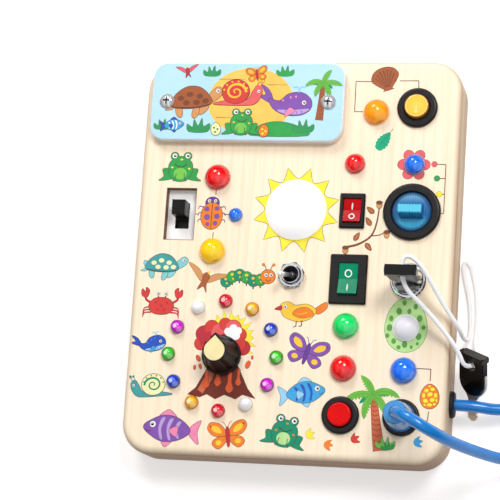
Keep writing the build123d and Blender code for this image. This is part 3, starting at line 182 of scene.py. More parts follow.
CABLE_ROUTE = dots(
    "70,-92.8,48.5 70,-92.8,62 78.8,-96.6,71.7 90.4,-103.3,71.3 102,-108.4,57 114,-111.1,38 "
    "126.5,-112.9,20.5 140.5,-113.2,7.8 156.5,-110.5,3.9 167.5,-99.5,3.6 166.2,-84.3,3.6 153.7,-75.5,3.9 "
    "139,-78.6,5.4 124.5,-84,9.6 108.5,-82.2,15 92.6,-82.2,15"
)
STRING_ROUTE = dots(
    "70,-13,55.5 70.6,-20.8,55.1 81.9,-30.5,46 93.9,-43.7,38.5 101.1,-53.3,33 105,-62.9,27.3 113.7,-56,17.3 "
    "107,-47.2,3.2 107.4,-36.9,1.5 107.4,-22,1.5 105.4,-8,1.5 101.8,4.2,1.5 97.4,4,1.5 99.2,-6,1.5 "
    "102.2,-17,1.5 103.8,-30,1.5 103.8,-41.5,1.9 101.9,-44,12 100.6,-39.5,31 94.6,-31.2,37 89.4,-23.1,43 "
    "84.1,-13.8,50 79.4,-7.2,55.2 74.2,-3.4,57.4 69.8,-4.6,57.6 70,-12.9,55.5"
)
cable_line = nurbs_line(CABLE_ROUTE)[::-1]
cable = tube("blue_cable_tube", cable_line, 3.4 * MM, 28)
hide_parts("blue_cable")
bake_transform(cable)
string_line = nurbs_line(STRING_ROUTE)
string = tube("key_string_tube", string_line, 1.3 * MM, 20)
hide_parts("key_string")
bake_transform(string)


# ---------- colours and nodes
def srgb(r, g, b):
    """A colour of the photograph's 0-255 scale as scene-linear RGBA."""
    def line(c):
        c /= 255
        return c / 12.92 if c <= 0.04045 else ((c + 0.055) / 1.055) ** 2.4
    return (line(r), line(g), line(b), 1.0)


def shade(rgb, factor=1.0):
    """A 0-255 colour made darker or lighter."""
    return srgb(*(min(255, c * factor) for c in rgb))


def between(rgb, other, part):
    """The colour part of the way from one 0-255 colour to another."""
    return srgb(*(a + part * (b - a) for a, b in zip(rgb, other)))


def grey(level):
    return (level, level, level, 1.0)


WHITE = grey(1.0)
PAPER = (255, 255, 255)
ALONG_Y = (1.0, 0.045, 1.0)


class Nodes:
    """A node tree. Each socket takes a constant or the output of another node."""

    def __init__(self, tree):
        self.tree = tree

    def feed(self, node, sockets):
        for key, value in sockets.items():
            if hasattr(value, "is_linked"):
                self.tree.links.new(value, node.inputs[key])
            else:
                node.inputs[key].default_value = value

    def node(self, kind, sockets=(), **settings):
        node = self.tree.nodes.new("ShaderNode" + kind)
        for key, value in settings.items():
            setattr(node, key, value)
        self.feed(node, dict(sockets))
        return node

    def maths(self, operation, a, b=0.0, *more):
        return self.node("Math", enumerate((a, b, *more)), operation=operation).outputs[0]

    def white_rays(self):
        """1 for rays of the camera and for mirror and glass rays, else 0."""
        rays = self.node("LightPath").outputs
        seen = self.maths("MAXIMUM", rays["Is Camera Ray"], rays["Is Glossy Ray"])
        return self.maths("MAXIMUM", seen, rays["Is Transmission Ray"])


class Finish(Nodes):
    """A surface whose colour, roughness and bump are built up from textures in object space."""

    def __init__(self, name, **sockets):
        self.material = bpy.data.materials.new(name)
        self.material.use_nodes = True
        super().__init__(self.material.node_tree)
        self.shader = self.tree.nodes["Principled BSDF"]
        self.set(**sockets)
        source = self.node("TexCoord").outputs
        self.place, self.normal, self.turns = source["Object"], source["Normal"], source["UV"]

    def set(self, **sockets):
        """Feed the surface shader, with _ for each space in a socket's name."""
        self.feed(self.shader, {key.replace("_", " "): value for key, value in sockets.items()})

    def stretched(self, scale, place=None, turn=(0, 0, 0)):
        sockets = {"Vector": place or self.place, "Scale": scale, "Rotation": turn}
        return self.node("Mapping", sockets).outputs["Vector"]

    def noise(self, scale, detail=3.0, rough=0.55, place=None, distortion=0.0):
        sockets = {"Scale": scale, "Detail": detail, "Roughness": rough, "Distortion": distortion}
        return self.node("TexNoise", {"Vector": place or self.place, **sockets}).outputs["Fac"]

    def wave(self, place, profile="SIN", **sockets):
        """Bands across X."""
        sockets = {key.replace("_", " "): value for key, value in sockets.items()}
        kind = {"wave_type": "BANDS", "bands_direction": "X", "wave_profile": profile}
        return self.node("TexWave", {"Vector": place, **sockets}, **kind).outputs["Fac"]

    def ramp(self, fac, *stops):
        node = self.node("ValToRGB", {"Fac": fac})
        elements = node.color_ramp.elements
        while len(elements) < len(stops):
            elements.new(0.5)
        for element, (at, colour) in zip(elements, stops):
            element.position, element.color = at, colour
        return node.outputs["Color"]

    def mottle(self, noise, low, high, end=0.7):
        """Two tones spread by a noise."""
        return self.ramp(noise, (0.3, low), (end, high))

    def range(self, value, low, high, to_low=0.0, to_high=1.0):
        return self.node("MapRange", enumerate((value, low, high, to_low, to_high))).outputs["Result"]

    def mix(self, fac, a, b):
        return self.node("Mix", {0: fac, 6: a, 7: b}, data_type="RGBA").outputs[2]

    def veil(self, below, tone, value, low, high, most=1.0):
        """A tone laid over another as a value goes from low to high."""
        return self.mix(self.range(value, low, high, 0.0, most), below, tone)

    def part(self, vector, name):
        return self.node("SeparateXYZ", {"Vector": vector}).outputs[name]

    def axis(self, name):
        """One coordinate, in millimetres."""
        return self.maths("MULTIPLY", self.part(self.place, name), 1000.0)

    def reach(self, x, y):
        """Distance from a vertical axis, in millimetres."""
        flat = self.node("Mapping", {"Vector": self.place, "Location": (-x, -y, 0), "Scale": (1000, 1000, 0)})
        return self.node("VectorMath", {0: flat.outputs["Vector"]}, operation="LENGTH").outputs["Value"]

    def facing(self, direction):
        """How far the surface faces a direction, 1 when it does so fully."""
        sockets = {0: self.normal, 1: direction}
        return self.node("VectorMath", sockets, operation="DOT_PRODUCT").outputs["Value"]

    def done(self, colour, roughness, bump=None):
        """The material: its colour, roughness (noise, low, high) and bump (height, strength, distance)."""
        noise, low, high = roughness
        self.set(Base_Color=colour, Roughness=self.range(noise, 0.3, 0.7, low, high))
        if bump:
            node = self.node("Bump", zip(("Height", "Strength", "Distance"), bump))
            self.set(Normal=node.outputs["Normal"])
        return self.material


# ---------- finishes
def wood(name, light, dark):
    """Pale pine with fibres, faint growth rings and darker streaks along Y. Upright sides are browner and
    darker with layered grain, partly real and partly painted shade, and painted shade is deepest where a side
    faces -Y.
    """
    f = Finish(name, Specular_IOR_Level=0.3)
    along = f.stretched(ALONG_Y)
    rings = f.wave(f.stretched((1.0, 0.07, 0.6)), Scale=52.0, Distortion=7.0, Detail=4.0, Detail_Scale=1.2)
    fibres = f.noise(1500.0, 5.0, 0.6, along)
    tone = f.ramp(rings, (0.0, shade(light)), (0.7, shade(light)), (1.0, between(light, dark, 0.3)))
    tone = f.veil(tone, shade(dark), f.noise(310.0, 4.0, 0.6, along), 0.48, 0.8, 0.6)
    tone = f.veil(tone, shade(dark, 0.95), fibres, 0.4, 0.8, 0.25)
    tone = f.veil(tone, shade(light), f.noise(7.0, 2.0), 0.4, 0.7, 0.35)
    # Upright sides: darker layered grain, partly real and partly painted shade
    layers = f.noise(330.0, 4.0, 0.55, f.stretched((0.02, 0.02, 1.0)), 0.3)
    edge = f.ramp(layers, (0.36, shade(dark, 0.9)), (0.5, shade(dark, 0.84)), (0.64, srgb(190, 144, 102)))
    # Painted shade on the sides that face -Y
    shade_below = f.range(f.part(f.normal, "Y"), -0.95, -0.5, 0.7, 0.0)
    edge = f.mix(shade_below, edge, srgb(132, 88, 58))
    upright = f.range(f.maths("ABSOLUTE", f.part(f.normal, "Z")), 0.35, 0.96, 1.0, 0.0)
    return f.done(f.mix(upright, tone, edge), (fibres, 0.46, 0.62), (f.mix(0.35, fibres, rings), 0.1, 0.0002))


def plastic(name, rgb, rough=0.35, grain=700.0, depth=0.08, **sockets):
    """Moulded plastic: slightly uneven colour, fine spark-eroded grain, soft sheen."""
    f = Finish(name, **{"Specular_IOR_Level": 0.25, **sockets})
    return f.done(
        f.mottle(f.noise(60.0, 2.0), shade(rgb, 0.93), shade(rgb, 1.04)),
        (f.noise(220.0), rough * 0.85, min(1.0, rough * 1.2)), (f.noise(grain * 4, 2.0), depth, 0.0001),
    )


# Kinds of lens: blend, start and end of the painted dark rim of shade, then start and paleness of the painted
# gathered light
PLAIN = (0.4, 0.25, 0.85, 0.76, 0.36)
DOME = (0.5, 0.36, 0.76, 0.76, 0.36)
BEAD = (0.6, 0.22, 0.6, 0.84, 0.55)
PAINTED_LIGHT_SIDE = (0.52, -0.52, 0.68)
PAINTED_GLINT_SIDE = (-0.17, -0.05, 0.984)
PAINTED_SHADE_SIDE = (0.4, -0.91, 0.08)
FLANGE_TOP = 30.8


def lens(name, rgb, deep, glow, kind=PLAIN, clear=0.0, rough=0.05, gather=0.6, shine=0.7):
    """Translucent coloured plastic with a faint painted glow: painted shade deepens its rim, and painted light
    brightens it low on the far side, where light would gather.
    """
    blend, rim_start, rim_end, pale_start, paleness = kind
    # The emission is a painted glow that brightens the lens
    f = Finish(
        name, IOR=1.49, Specular_IOR_Level=shine, Subsurface_Weight=0.15, Subsurface_Scale=0.004,
        Subsurface_Radius=(1.0, 0.8, 0.8), Transmission_Weight=clear, Emission_Color=shade(rgb),
        Emission_Strength=glow,
    )
    rim = f.node("LayerWeight", {"Blend": blend}).outputs["Facing"]
    tone = f.mottle(f.noise(60.0, 1.0, 0.5), shade(rgb, 0.96), shade(rgb, 1.04), 0.72)
    # Painted shade: the rim darkens towards the deep colour as the surface turns from view
    tone = f.veil(tone, shade(deep), rim, rim_start, rim_end, 0.95)
    # Painted light: a paler patch low on the side away from the lamps
    tone = f.veil(tone, between(rgb, PAPER, paleness), f.facing(PAINTED_LIGHT_SIDE), pale_start, 0.96, gather)
    if kind == BEAD:
        # Painted highlight: a near-white glint just left of the bead's middle, standing in for the chip's
        # bright cup seen through the nose and for the lamp's reflection
        tone = f.veil(tone, between(rgb, PAPER, 0.85), f.facing(PAINTED_GLINT_SIDE), 0.93, 0.972, 0.95)
    if kind == DOME:
        # Painted shade: a dark crescent along the dome's lower near edge, where the collar shows through. The
        # flange is painted paler on top and darker on its upright sides, as light and shade fall on it
        tone = f.veil(tone, shade(deep, 0.6), f.facing(PAINTED_SHADE_SIDE), 0.9, 0.975, 0.85)
        # Painted light and shade on the flange: paler on top, darker on its sides
        pale = between(rgb, (255, 236, 206), 0.5)
        flange = f.veil(shade(deep, 0.7), pale, f.part(f.normal, "Z"), 0.6, 0.9)
        tone = f.mix(f.range(f.axis("Z"), FLANGE_TOP, FLANGE_TOP + 0.12, 1.0, 0.0), tone, flange)
    return f.done(tone, (f.noise(300.0, 2.0), rough * 0.8, rough * 1.3))


def metal(name, rgb, rough, brush=(1.0, 1.0, 1.0), scratch=0.04):
    """Plated metal with fine turning marks and slightly uneven polish."""
    f = Finish(name, Metallic=1.0)
    marks = f.noise(2600.0, 3.0, 0.6, f.stretched(brush))
    return f.done(
        f.mottle(f.noise(70.0, 2.0), shade(rgb, 0.93), shade(rgb)), (marks, rough * 0.6, rough * 1.5),
        (marks, scratch, 0.00005),
    )


def ink(name, rgb):
    """Printed ink on wood or card: flat, with the fibres below it just showing."""
    f = Finish(name, Specular_IOR_Level=0.3)
    fibres = f.noise(1900.0, 4.0, 0.6, f.stretched(ALONG_Y))
    tone = f.mottle(f.noise(140.0), shade(rgb, 0.96), shade(rgb, 1.03))
    return f.done(
        f.veil(tone, shade(rgb, 0.82), fibres, 0.5, 0.8, 0.16), (fibres, 0.42, 0.6), (fibres, 0.08, 0.0001)
    )


def middle(node):
    """Where the middle of a node's box stands on the face, in millimetres."""
    spots = [v.co for v in NODES[node].data.vertices]
    return tuple(500 * (min(p[k] for p in spots) + max(p[k] for p in spots)) for k in (0, 1))


def coated_board():
    """Lacquered board of the battery cover: pale blue print on top, white edge all round."""
    f = Finish("cover_card", Coat_Weight=0.25, Coat_Roughness=0.2)
    blue = f.mottle(f.noise(40.0), srgb(178, 222, 247), srgb(190, 229, 250))
    fibres = f.noise(500.0, 3.0, 0.6, f.stretched((1, 1, 12)))
    white = f.mottle(fibres, srgb(226, 222, 222), srgb(245, 242, 242))
    return f.done(
        f.veil(white, blue, f.part(f.place, "Z"), 0.03585, 0.03595), (f.noise(260.0), 0.3, 0.42),
        (f.noise(900.0, 2.0), 0.04, 0.0001),
    )


def amber_cap():
    """Clear yellow cap over a bright disc, with a small moulded cross and a faint painted glow. Outside the
    disc a thin painted highlight ring, then a browner collar, partly the cap's amber and partly painted shade.
    """
    f = Finish(
        "cap_amber", IOR=1.49, Specular_IOR_Level=0.35, Subsurface_Weight=0.15, Subsurface_Scale=0.003,
        Emission_Color=srgb(252, 200, 60), Emission_Strength=0.02,
    )
    x, y = middle("yellow_button_cap")
    radius = 8.0
    reach = f.maths("DIVIDE", f.reach(x, y), radius)
    swirl = f.range(f.noise(300.0, 2.0), 0.3, 0.7, -0.015, 0.015)
    # Painted: a thin highlight ring at the disc's edge and shade darkening the collar outside it
    disc = f.ramp(
        f.maths("ADD", reach, swirl), (0.0, srgb(244, 212, 96)), (0.74, srgb(240, 198, 62)),
        (0.79, srgb(255, 236, 150)), (0.83, srgb(206, 136, 34)), (0.9, srgb(112, 62, 20)),
    )
    bars = []
    for half_width, half_height, down in ((0.25, 2.2, 2.4), (1.3, 0.25, 3.4)):
        across = f.maths("COMPARE", f.axis("X"), x, half_width)
        bars.append(f.maths("MULTIPLY", across, f.maths("COMPARE", f.axis("Y"), y - down, half_height)))
    cross = f.maths("MAXIMUM", *bars)
    return f.done(
        f.mix(f.maths("MULTIPLY", cross, 0.55), disc, srgb(255, 250, 214)),
        (f.noise(250.0), 0.06, 0.12), (cross, 0.5, 0.0004),
    )


def rotary_blue():
    """Clear blue disc and finger bar with fine ribs across the disc and a faint painted glow. Painted light and
    shade: the disc brighter low down and greyer high up, navy shade towards the rim, and the bar dark at its
    foot and bright on top.
    """
    f = Finish(
        "rotary_clear", IOR=1.49, Subsurface_Weight=0.15, Subsurface_Scale=0.004, Transmission_Weight=0.15,
        Emission_Color=srgb(30, 150, 215), Emission_Strength=0.08,
    )
    x, y = middle("rotary_knob")
    radius, disc_top, bar_top = 12.0, 32.0, 41.2
    # Painted light and shade: brighter low on the disc, a greyer painted reflection high up, and navy shade
    # towards the rim
    low = f.range(f.axis("Y"), y - 7.0, y - 2.0, 1.0, 0.0)
    disc = f.mix(low, srgb(34, 110, 172), srgb(44, 196, 236))
    disc = f.veil(disc, srgb(120, 184, 212), f.axis("Y"), y + 5.0, y + 9.0)
    reach = f.maths("DIVIDE", f.reach(x, y), radius)
    edge = f.ramp(reach, (0.0, grey(0)), (0.76, grey(0)), (0.86, grey(0.75)), (0.93, WHITE))
    disc = f.mix(edge, disc, srgb(6, 30, 74))
    ribs = f.wave(f.place, "TRI", Scale=230.0)
    disc = f.veil(disc, srgb(14, 92, 158), ribs, 0.3, 0.7, 0.35)
    # Painted light and shade on the bar: dark at its foot, bright on top
    height = f.range(f.axis("Z"), disc_top, bar_top)
    bar = f.ramp(height, (0.0, srgb(10, 44, 92)), (0.8, srgb(20, 104, 166)), (0.97, srgb(96, 212, 240)))
    return f.done(
        f.veil(disc, bar, f.axis("Z"), disc_top - 0.2, disc_top), (f.noise(250.0), 0.05, 0.1),
        (ribs, 0.35, 0.0004),
    )


def toggle_mouth():
    """Chrome bushing, its mouth round the lever's ball painted dark as shade."""
    f = Finish("bushing_chrome", Metallic=1.0)
    radius = 6.0
    reach = f.range(f.reach(*middle("toggle_bushing")), 0.0, radius)
    # Painted shade inside the mouth
    dark = (0.0, grey(0.04)), (0.7, grey(0.09))
    chrome = (0.8, srgb(150, 150, 156)), (0.86, srgb(228, 230, 236))
    return f.done(f.ramp(reach, *dark, *chrome), (f.noise(1500.0, 2.0), 0.08, 0.14))


def toggle_steel():
    """Toggle lever, painted from a dark foot up a grey shank, as a painted reflection of the shaded mouth, to a
    painted highlight at its bright tip.
    """
    f = Finish("lever_steel", Metallic=0.35)
    foot, tip = 31.0, 47.0
    # Painted reflection and highlight: darker towards the foot, brightest at the tip
    shank = (0.0, srgb(70, 70, 74)), (0.35, srgb(128, 128, 134)), (0.7, srgb(176, 176, 182))
    return f.done(
        f.ramp(f.range(f.axis("Z"), foot, tip), *shank, (0.82, srgb(244, 244, 248))),
        (f.noise(1500.0, 2.0), 0.22, 0.34),
    )


def screw_chrome():
    """Chrome screw head, its cross recess painted dark as shade."""
    f = Finish("screw_chrome", Metallic=0.55)
    cover_x, spread, screw_y = -32.0, 49.5, 92.6
    side = f.maths("ABSOLUTE", f.maths("ADD", f.axis("X"), -cover_x))
    off = f.maths("POWER", f.maths("SUBTRACT", side, spread), 2.0)
    away = f.maths("POWER", f.maths("SUBTRACT", f.axis("Y"), screw_y), 2.0)
    # Painted shade in the cross recess
    recess = f.maths(
        "MULTIPLY", f.range(f.maths("SQRT", f.maths("ADD", off, away)), 2.5, 2.6, 1.0, 0.0),
        f.range(f.axis("Z"), 37.2, 37.6, 1.0, 0.0),
    )
    shine = f.mottle(f.noise(300.0, 2.0), srgb(206, 208, 212), srgb(240, 240, 244))
    return f.done(
        f.mix(recess, shine, srgb(46, 44, 46)), (f.noise(1200.0), 0.08, 0.2),
        (f.noise(700.0, 2.0), 0.15, 0.0001),
    )


def cable_skin():
    f = Finish("cable_skin", Coat_Weight=0.3, Coat_Roughness=0.15)
    return f.done(
        f.mottle(f.noise(80.0, 2.0), srgb(4, 116, 200), srgb(10, 132, 212)),
        (f.noise(400.0), 0.2, 0.26), (f.noise(2200.0, 2.0), 0.02, 0.0001),
    )


def string_braid():
    """White elastic cord: a fine two-way braid worked out from the tube's own turns and length, with a faint
    painted white glow that brightens it.
    """
    f = Finish(
        "string_braid", Sheen_Weight=0.3, Specular_IOR_Level=0.3, Emission_Color=WHITE, Emission_Strength=0.12
    )
    ways = [f.stretched((1.0, 1.0, 1.0), f.turns, (0, 0, turn)) for turn in (0.78, -0.78)]
    weave = f.maths("MULTIPLY", *(f.wave(way, Scale=3.4) for way in ways))
    return f.done(
        f.ramp(weave, (0.0, srgb(232, 232, 236)), (0.5, shade(PAPER))),
        (f.noise(900.0), 0.6, 0.8), (weave, 0.25, 0.00015),
    )


def burnt_pine():
    """Sides browned by the cutter, darker below."""
    f = Finish("burnt_pine")
    brown = f.mottle(f.noise(700.0, 4.0, 0.6, f.stretched((1, 1, 0.2))), srgb(84, 52, 34), srgb(150, 108, 76))
    return f.done(
        f.veil(brown, srgb(128, 88, 58), f.part(f.place, "Z"), 0.0246, 0.030),
        (f.noise(400.0), 0.6, 0.8),
    )


CHROME = metal("chrome_plate", (224, 226, 232), 0.09, scratch=0.015)
MATT = {"rough": 0.3, "gather": 0.0}
BRIGHT_DOME = {"kind": DOME, "shine": 0.5}
LED = {"kind": BEAD, "clear": 0.1, "gather": 0.9}
for names, material in (
    ("wood_housing", wood("pine_face", (255, 237, 210), (243, 215, 180))),
    ("back_panel", wood("pine_back", (254, 237, 213), (244, 222, 194))),
    ("cover_plate", coated_board()),
    ("toggle_nut toggle_washer key_lock_barrel", CHROME),
    ("cover_inserts", metal("brass_insert", (214, 178, 92), 0.25)),
    ("battery_contacts", metal("contact_spring", (200, 202, 206), 0.25)),
    ("yellow_button_spring red_button_spring", metal("button_spring", (205, 206, 210), 0.22)),
    ("key_blade spare_key_blade", metal("key_nickel", (240, 232, 214), 0.36, (1, 1, 6), 0.15)),
    ("selector_shaft jack_plug_pin", metal("shaft_steel", (214, 214, 218), 0.18, (1, 1, 8))),
    ("key_lock_cylinder", metal("lock_cylinder", (120, 118, 122), 0.3)),
    (
        "battery_tray slide_switch_body red_rocker_bezel green_rocker_bezel rotary_bezel yellow_button_bezel "
        "red_button_bezel jack_socket selector_switch toggle_body",
        plastic("black_moulding", (30, 27, 28), 0.3, 900.0, 0.1),
    ),
    ("slide_switch_slider", plastic("slider_black", (26, 25, 26), 0.3, 900.0, 0.08)),
    ("key_bow spare_key_bow", plastic("key_black", (11, 11, 13), 0.22, 800.0, 0.06)),
    ("side_grommet", plastic("grommet_rubber", (30, 30, 32), 0.55, 600.0, 0.12)),
    ("pointer_knob", plastic("knob_satin", (25, 22, 23), 0.42, 900.0, 0.08, Specular_IOR_Level=0.2)),
    ("pointer_insert", plastic("pointer_cream", (244, 228, 170), 0.4, 500.0, 0.05)),
    ("panel_nuts", plastic("nut_nylon", (205, 205, 200), 0.4)),
    ("battery_cells", plastic("cell_wrap", (60, 120, 190), 0.25, Coat_Weight=0.4)),
    ("circuit_boards", plastic("board_green", (30, 105, 70), 0.35, 500.0, 0.1, Coat_Weight=0.3)),
    # The white plate's emission is a painted glow that brightens it in its shaded recess
    ("slide_switch_plate", plastic(
        "plate_white", (252, 250, 248), 0.6, 700.0, 0.04, Emission_Strength=0.16,
        Emission_Color=(1, 0.97, 0.93, 1),
    )),
    ("dome_lenses_red", lens("dome_red", (240, 8, 16), (132, 0, 8), 0.12, DOME)),
    ("dome_lens_yellow", lens("dome_yellow", (255, 200, 4), (222, 132, 0), 0.2, **BRIGHT_DOME)),
    ("dome_lens_orange", lens("dome_orange", (255, 154, 2), (206, 88, 0), 0.2, **BRIGHT_DOME)),
    ("dome_lens_green", lens("dome_green", (14, 218, 104), (0, 104, 42), 0.15, DOME)),
    ("dome_lenses_blue", lens("dome_blue", (14, 112, 242), (4, 26, 128), 0.12, DOME)),
    ("dome_lens_frosted", lens(
        "dome_frosted", (224, 222, 228), (196, 192, 204), 0.2, rough=0.35, gather=0.0, shine=0.4
    )),
    ("sun_lamp_dome", lens("sun_white", (252, 252, 254), (244, 245, 249), 0.28, shine=0.4, **MATT)),
    ("ring_leds_red", lens("led_red", (246, 8, 36), (134, 0, 16), 0.12, **LED)),
    ("ring_leds_gold", lens("led_gold", (255, 186, 12), (186, 96, 0), 0.12, **LED)),
    ("ring_leds_blue", lens("led_blue", (10, 66, 232), (2, 10, 92), 0.08, **LED)),
    ("ring_leds_green", lens("led_green", (58, 220, 30), (6, 84, 6), 0.08, **LED)),
    ("ring_leds_magenta", lens("led_magenta", (230, 14, 230), (104, 0, 112), 0.08, **LED)),
    ("ring_leds_white", lens(
        "led_white", (246, 246, 246), (196, 196, 202), 0.16, clear=0.15, rough=0.12, gather=0.0
    )),
    ("red_rocker_button", lens("rocker_red", (190, 4, 12), (136, 2, 10), 0.0, shine=0.1, **MATT)),
    ("green_rocker_button", lens(
        "rocker_green", (2, 138, 98), (2, 64, 52), 0.0, clear=0.05, shine=0.1, **MATT
    )),
    ("red_button_cap", lens("cap_red", (222, 4, 6), (150, 2, 8), 0.02, shine=0.15, **MATT)),
    ("jack_plug_shell", lens(
        "plug_blue", (74, 172, 232), (24, 110, 196), 0.06, clear=0.4, rough=0.08, gather=0.3
    )),
    ("toggle_bushing", toggle_mouth()),
    ("toggle_lever", toggle_steel()),
    ("yellow_button_cap", amber_cap()),
    ("rotary_knob", rotary_blue()),
    ("cover_screws", screw_chrome()),
):
    for name in names.split():
        give(NODES[name], material)
give(cable, cable_skin())
give(string, string_braid())

for colour in ("yellow", "red"):
    coil = NODES[colour + "_button_spring"]
    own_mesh(coil)


# ---------- flat drawing
def soft_span(four, steps):
    """Points of a soft line from the second of four points to the third."""
    def value(t, a, b, c, d):
        bend, twist = 2 * a - 5 * b + 4 * c - d, 3 * b - a - 3 * c + d
        return 0.5 * (2 * b + (c - a) * t + bend * t * t + twist * t ** 3)
    return [tuple(value(s / steps, *along) for along in zip(*four)) for s in range(steps)]


def smooth(points, steps=5):
    """A closed soft outline through points."""
    n = len(points)
    return [spot for i in range(n) for spot in soft_span([points[(i + k - 1) % n] for k in range(4)], steps)]


def arc(points, steps=6):
    """An open soft line through points."""
    ends = [points[0], *points, points[-1]]
    spans = (soft_span(ends[i:i + 4], steps) for i in range(len(points) - 1))
    return [spot for span in spans for spot in span] + [points[-1]]


def oval(x, y, rx, ry=None, turn=0.0, steps=26):
    ry = rx if ry is None else ry
    c, s = polar(1.0, radians(turn))
    out = []
    for i in range(steps):
        a = 2 * pi * i / steps
        u, v = rx * cos(a), ry * sin(a)
        out.append((x + u * c - v * s, y + u * s + v * c))
    return out


def stroke(points, start, end=None):
    """A line of changing width as a closed outline."""
    end = start if end is None else end
    left, right, n = [], [], len(points)
    for i, (x, y) in enumerate(points):
        (x0, y0), (x1, y1) = points[max(i - 1, 0)], points[min(i + 1, n - 1)]
        dx, dy = x1 - x0, y1 - y0
        size = hypot(dx, dy) or 1.0
        half = (start + (end - start) * i / (n - 1)) / 2
        if 0 < i < n - 1:
            # The middle of a bend is set further out, so that the line keeps its width there
            ax, ay = x - x0, y - y0
            half *= min(1.6, 1 / max(0.3, (ax * dx + ay * dy) / (hypot(ax, ay) * size or 1.0)))
        left.append((x - dy / size * half, y + dx / size * half))
        right.append((x + dy / size * half, y - dx / size * half))
    return left + right[::-1]


def area(points):
    return sum(a[0] * b[1] - b[0] * a[1] for a, b in zip(points, points[1:] + points[:1])) / 2


def grown(points, by):
    """The outline moved outwards, corner by corner."""
    if area(points) < 0:
        points = points[::-1]
    out, n = [], len(points)
    for i, (x, y) in enumerate(points):
        (x0, y0), (x1, y1) = points[i - 1], points[(i + 1) % n]
        dx, dy = x1 - x0, y1 - y0
        size = hypot(dx, dy) or 1.0
        out.append((x + dy / size * by, y - dx / size * by))
    return out


class Sheet:
    """Prints on one flat side. Each ink becomes one object of thin slabs, each a little above the last."""

    UNDER, OVER, STEP = -0.01, 0.02, 0.005

    def __init__(self, name, place):
        self.name, self.place, self.meshes, self.layer = name, place, {}, 0

    def add(self, tone, points):
        bm = self.meshes.setdefault(tone, bmesh.new())
        high = self.OVER + self.STEP * self.layer
        self.layer += 1
        if area(points) < 0:
            points = points[::-1]
        bottom = [bm.verts.new(self.place(x, y, self.UNDER)) for x, y in points]
        top = [bm.verts.new(self.place(x, y, high)) for x, y in points]
        for a, b, c in tessellate_polygon([[Vector((x, y, 0)) for x, y in points]]):
            bm.faces.new((top[a], top[b], top[c]))
            bm.faces.new((bottom[c], bottom[b], bottom[a]))
        band(bm, bottom, top)

    def finish(self):
        for tone, bm in sorted(self.meshes.items()):
            obj = mesh_object(f"{self.name}_{tone}", bm, smooth=False)
            material = bpy.data.materials.get("ink_" + tone) or ink("ink_" + tone, INKS[tone])
            give(obj, material)


INKS = {
    "line": (96, 62, 44), "outline": (78, 48, 44), "white": (252, 252, 250), "eye": (30, 26, 30),
    "green": (44, 160, 74), "lime": (120, 200, 80), "pine": (10, 142, 104), "teal": (64, 158, 160),
    "aqua": (130, 206, 210), "brown": (166, 88, 48), "tan": (212, 150, 92), "bark": (120, 68, 40),
    "red": (216, 60, 54), "crimson": (190, 44, 56), "rose": (232, 96, 100), "pink": (244, 140, 178),
    "orange": (240, 128, 36), "gold": (252, 200, 56), "yellow": (255, 232, 60), "cream": (250, 240, 180),
    "blue": (40, 82, 190), "sky": (58, 164, 222), "pale": (150, 208, 240), "purple": (132, 82, 172),
    "violet": (104, 60, 150), "mint": (182, 222, 146), "moss": (44, 150, 84), "amber": (253, 200, 92),
    "fern": (92, 152, 68), "frond": (104, 186, 58), "rust": (208, 104, 64), "magma": (112, 40, 26),
    "jade": (6, 168, 122), "lava": (232, 92, 40), "lilac": (188, 160, 216), "grey": (150, 150, 156),
}


class Pen:
    """Draws one figure at its own place, size and turn on a sheet."""

    def __init__(self, sheet, x, y, size=1.0, turn=0.0, flip=False, base=0):
        self.sheet, self.x, self.y, self.size, self.flip = sheet, x, y, size, flip
        self.c, self.s = polar(1.0, radians(turn))
        sheet.layer = base

    def at(self, points):
        out = []
        for u, v in points:
            u, v = u * self.size * (-1 if self.flip else 1), v * self.size
            out.append((self.x + u * self.c - v * self.s, self.y + u * self.s + v * self.c))
        return out

    def fill(self, tone, points, edge=0.0, rim="outline"):
        points = self.at(points)
        if edge:
            self.sheet.add(rim, grown(points, edge))
        self.sheet.add(tone, points)

    def line(self, tone, points, width, end=None):
        end = width if end is None else end
        self.sheet.add(tone, stroke(self.at(points), width * self.size, end * self.size))

    def blob(self, tone, text, edge=0.0, side=1, steps=5):
        """Fill a soft outline."""
        self.fill(tone, smooth(dots(text, side), steps), edge)

    def curve(self, tone, text, width, end=None, side=1):
        """Draw a soft line."""
        self.line(tone, arc(dots(text, side)), width, end)

    def spots(self, tone, text, *size, edge=0.0, steps=26):
        """Fill ovals: "x,y" of each where they share a size, or else all that oval() takes."""
        for place in dots(text):
            self.fill(tone, oval(*place, *size, steps=steps), edge)

    def eye(self, x, y, r):
        self.fill("white", oval(x, y, r), 0.14)
        self.fill("eye", oval(x + 0.15 * r, y, 0.55 * r))
        self.fill("white", oval(x + 0.3 * r, y + 0.25 * r, 0.2 * r, steps=10))


def fish(p, body, fin, mark):
    p.blob(fin, "-8,0 -13,5 -12,0 -13,-5", 0.25)
    p.blob(fin, "-3,4 1,8 5,4", 0.25)
    p.blob(fin, "-2,-4 1,-7.5 3,-4", 0.25)
    p.blob(body, "-9,0 -4,4.6 3,5.4 9,2.4 11,0 9,-2.4 3,-5.2 -4,-4.2", 0.3)
    stripe = dots("-0.8,1 0.8,0.9 1.6,0 0.6,-0.9 -0.6,-1 0.4,0")
    for x, h in dots("-4,3.4 -0.5,4.3 3,4.4"):
        p.fill(mark, smooth([(x + u, v * h) for u, v in stripe]))
    p.blob(fin, "0,-0.6 -3.4,1.4 -3.2,-2.8", 0.2)
    p.eye(7.2, 1.3, 1.25)
    p.curve("outline", "10,-1.2 8.8,-1.8 7.8,-1.5", 0.3)


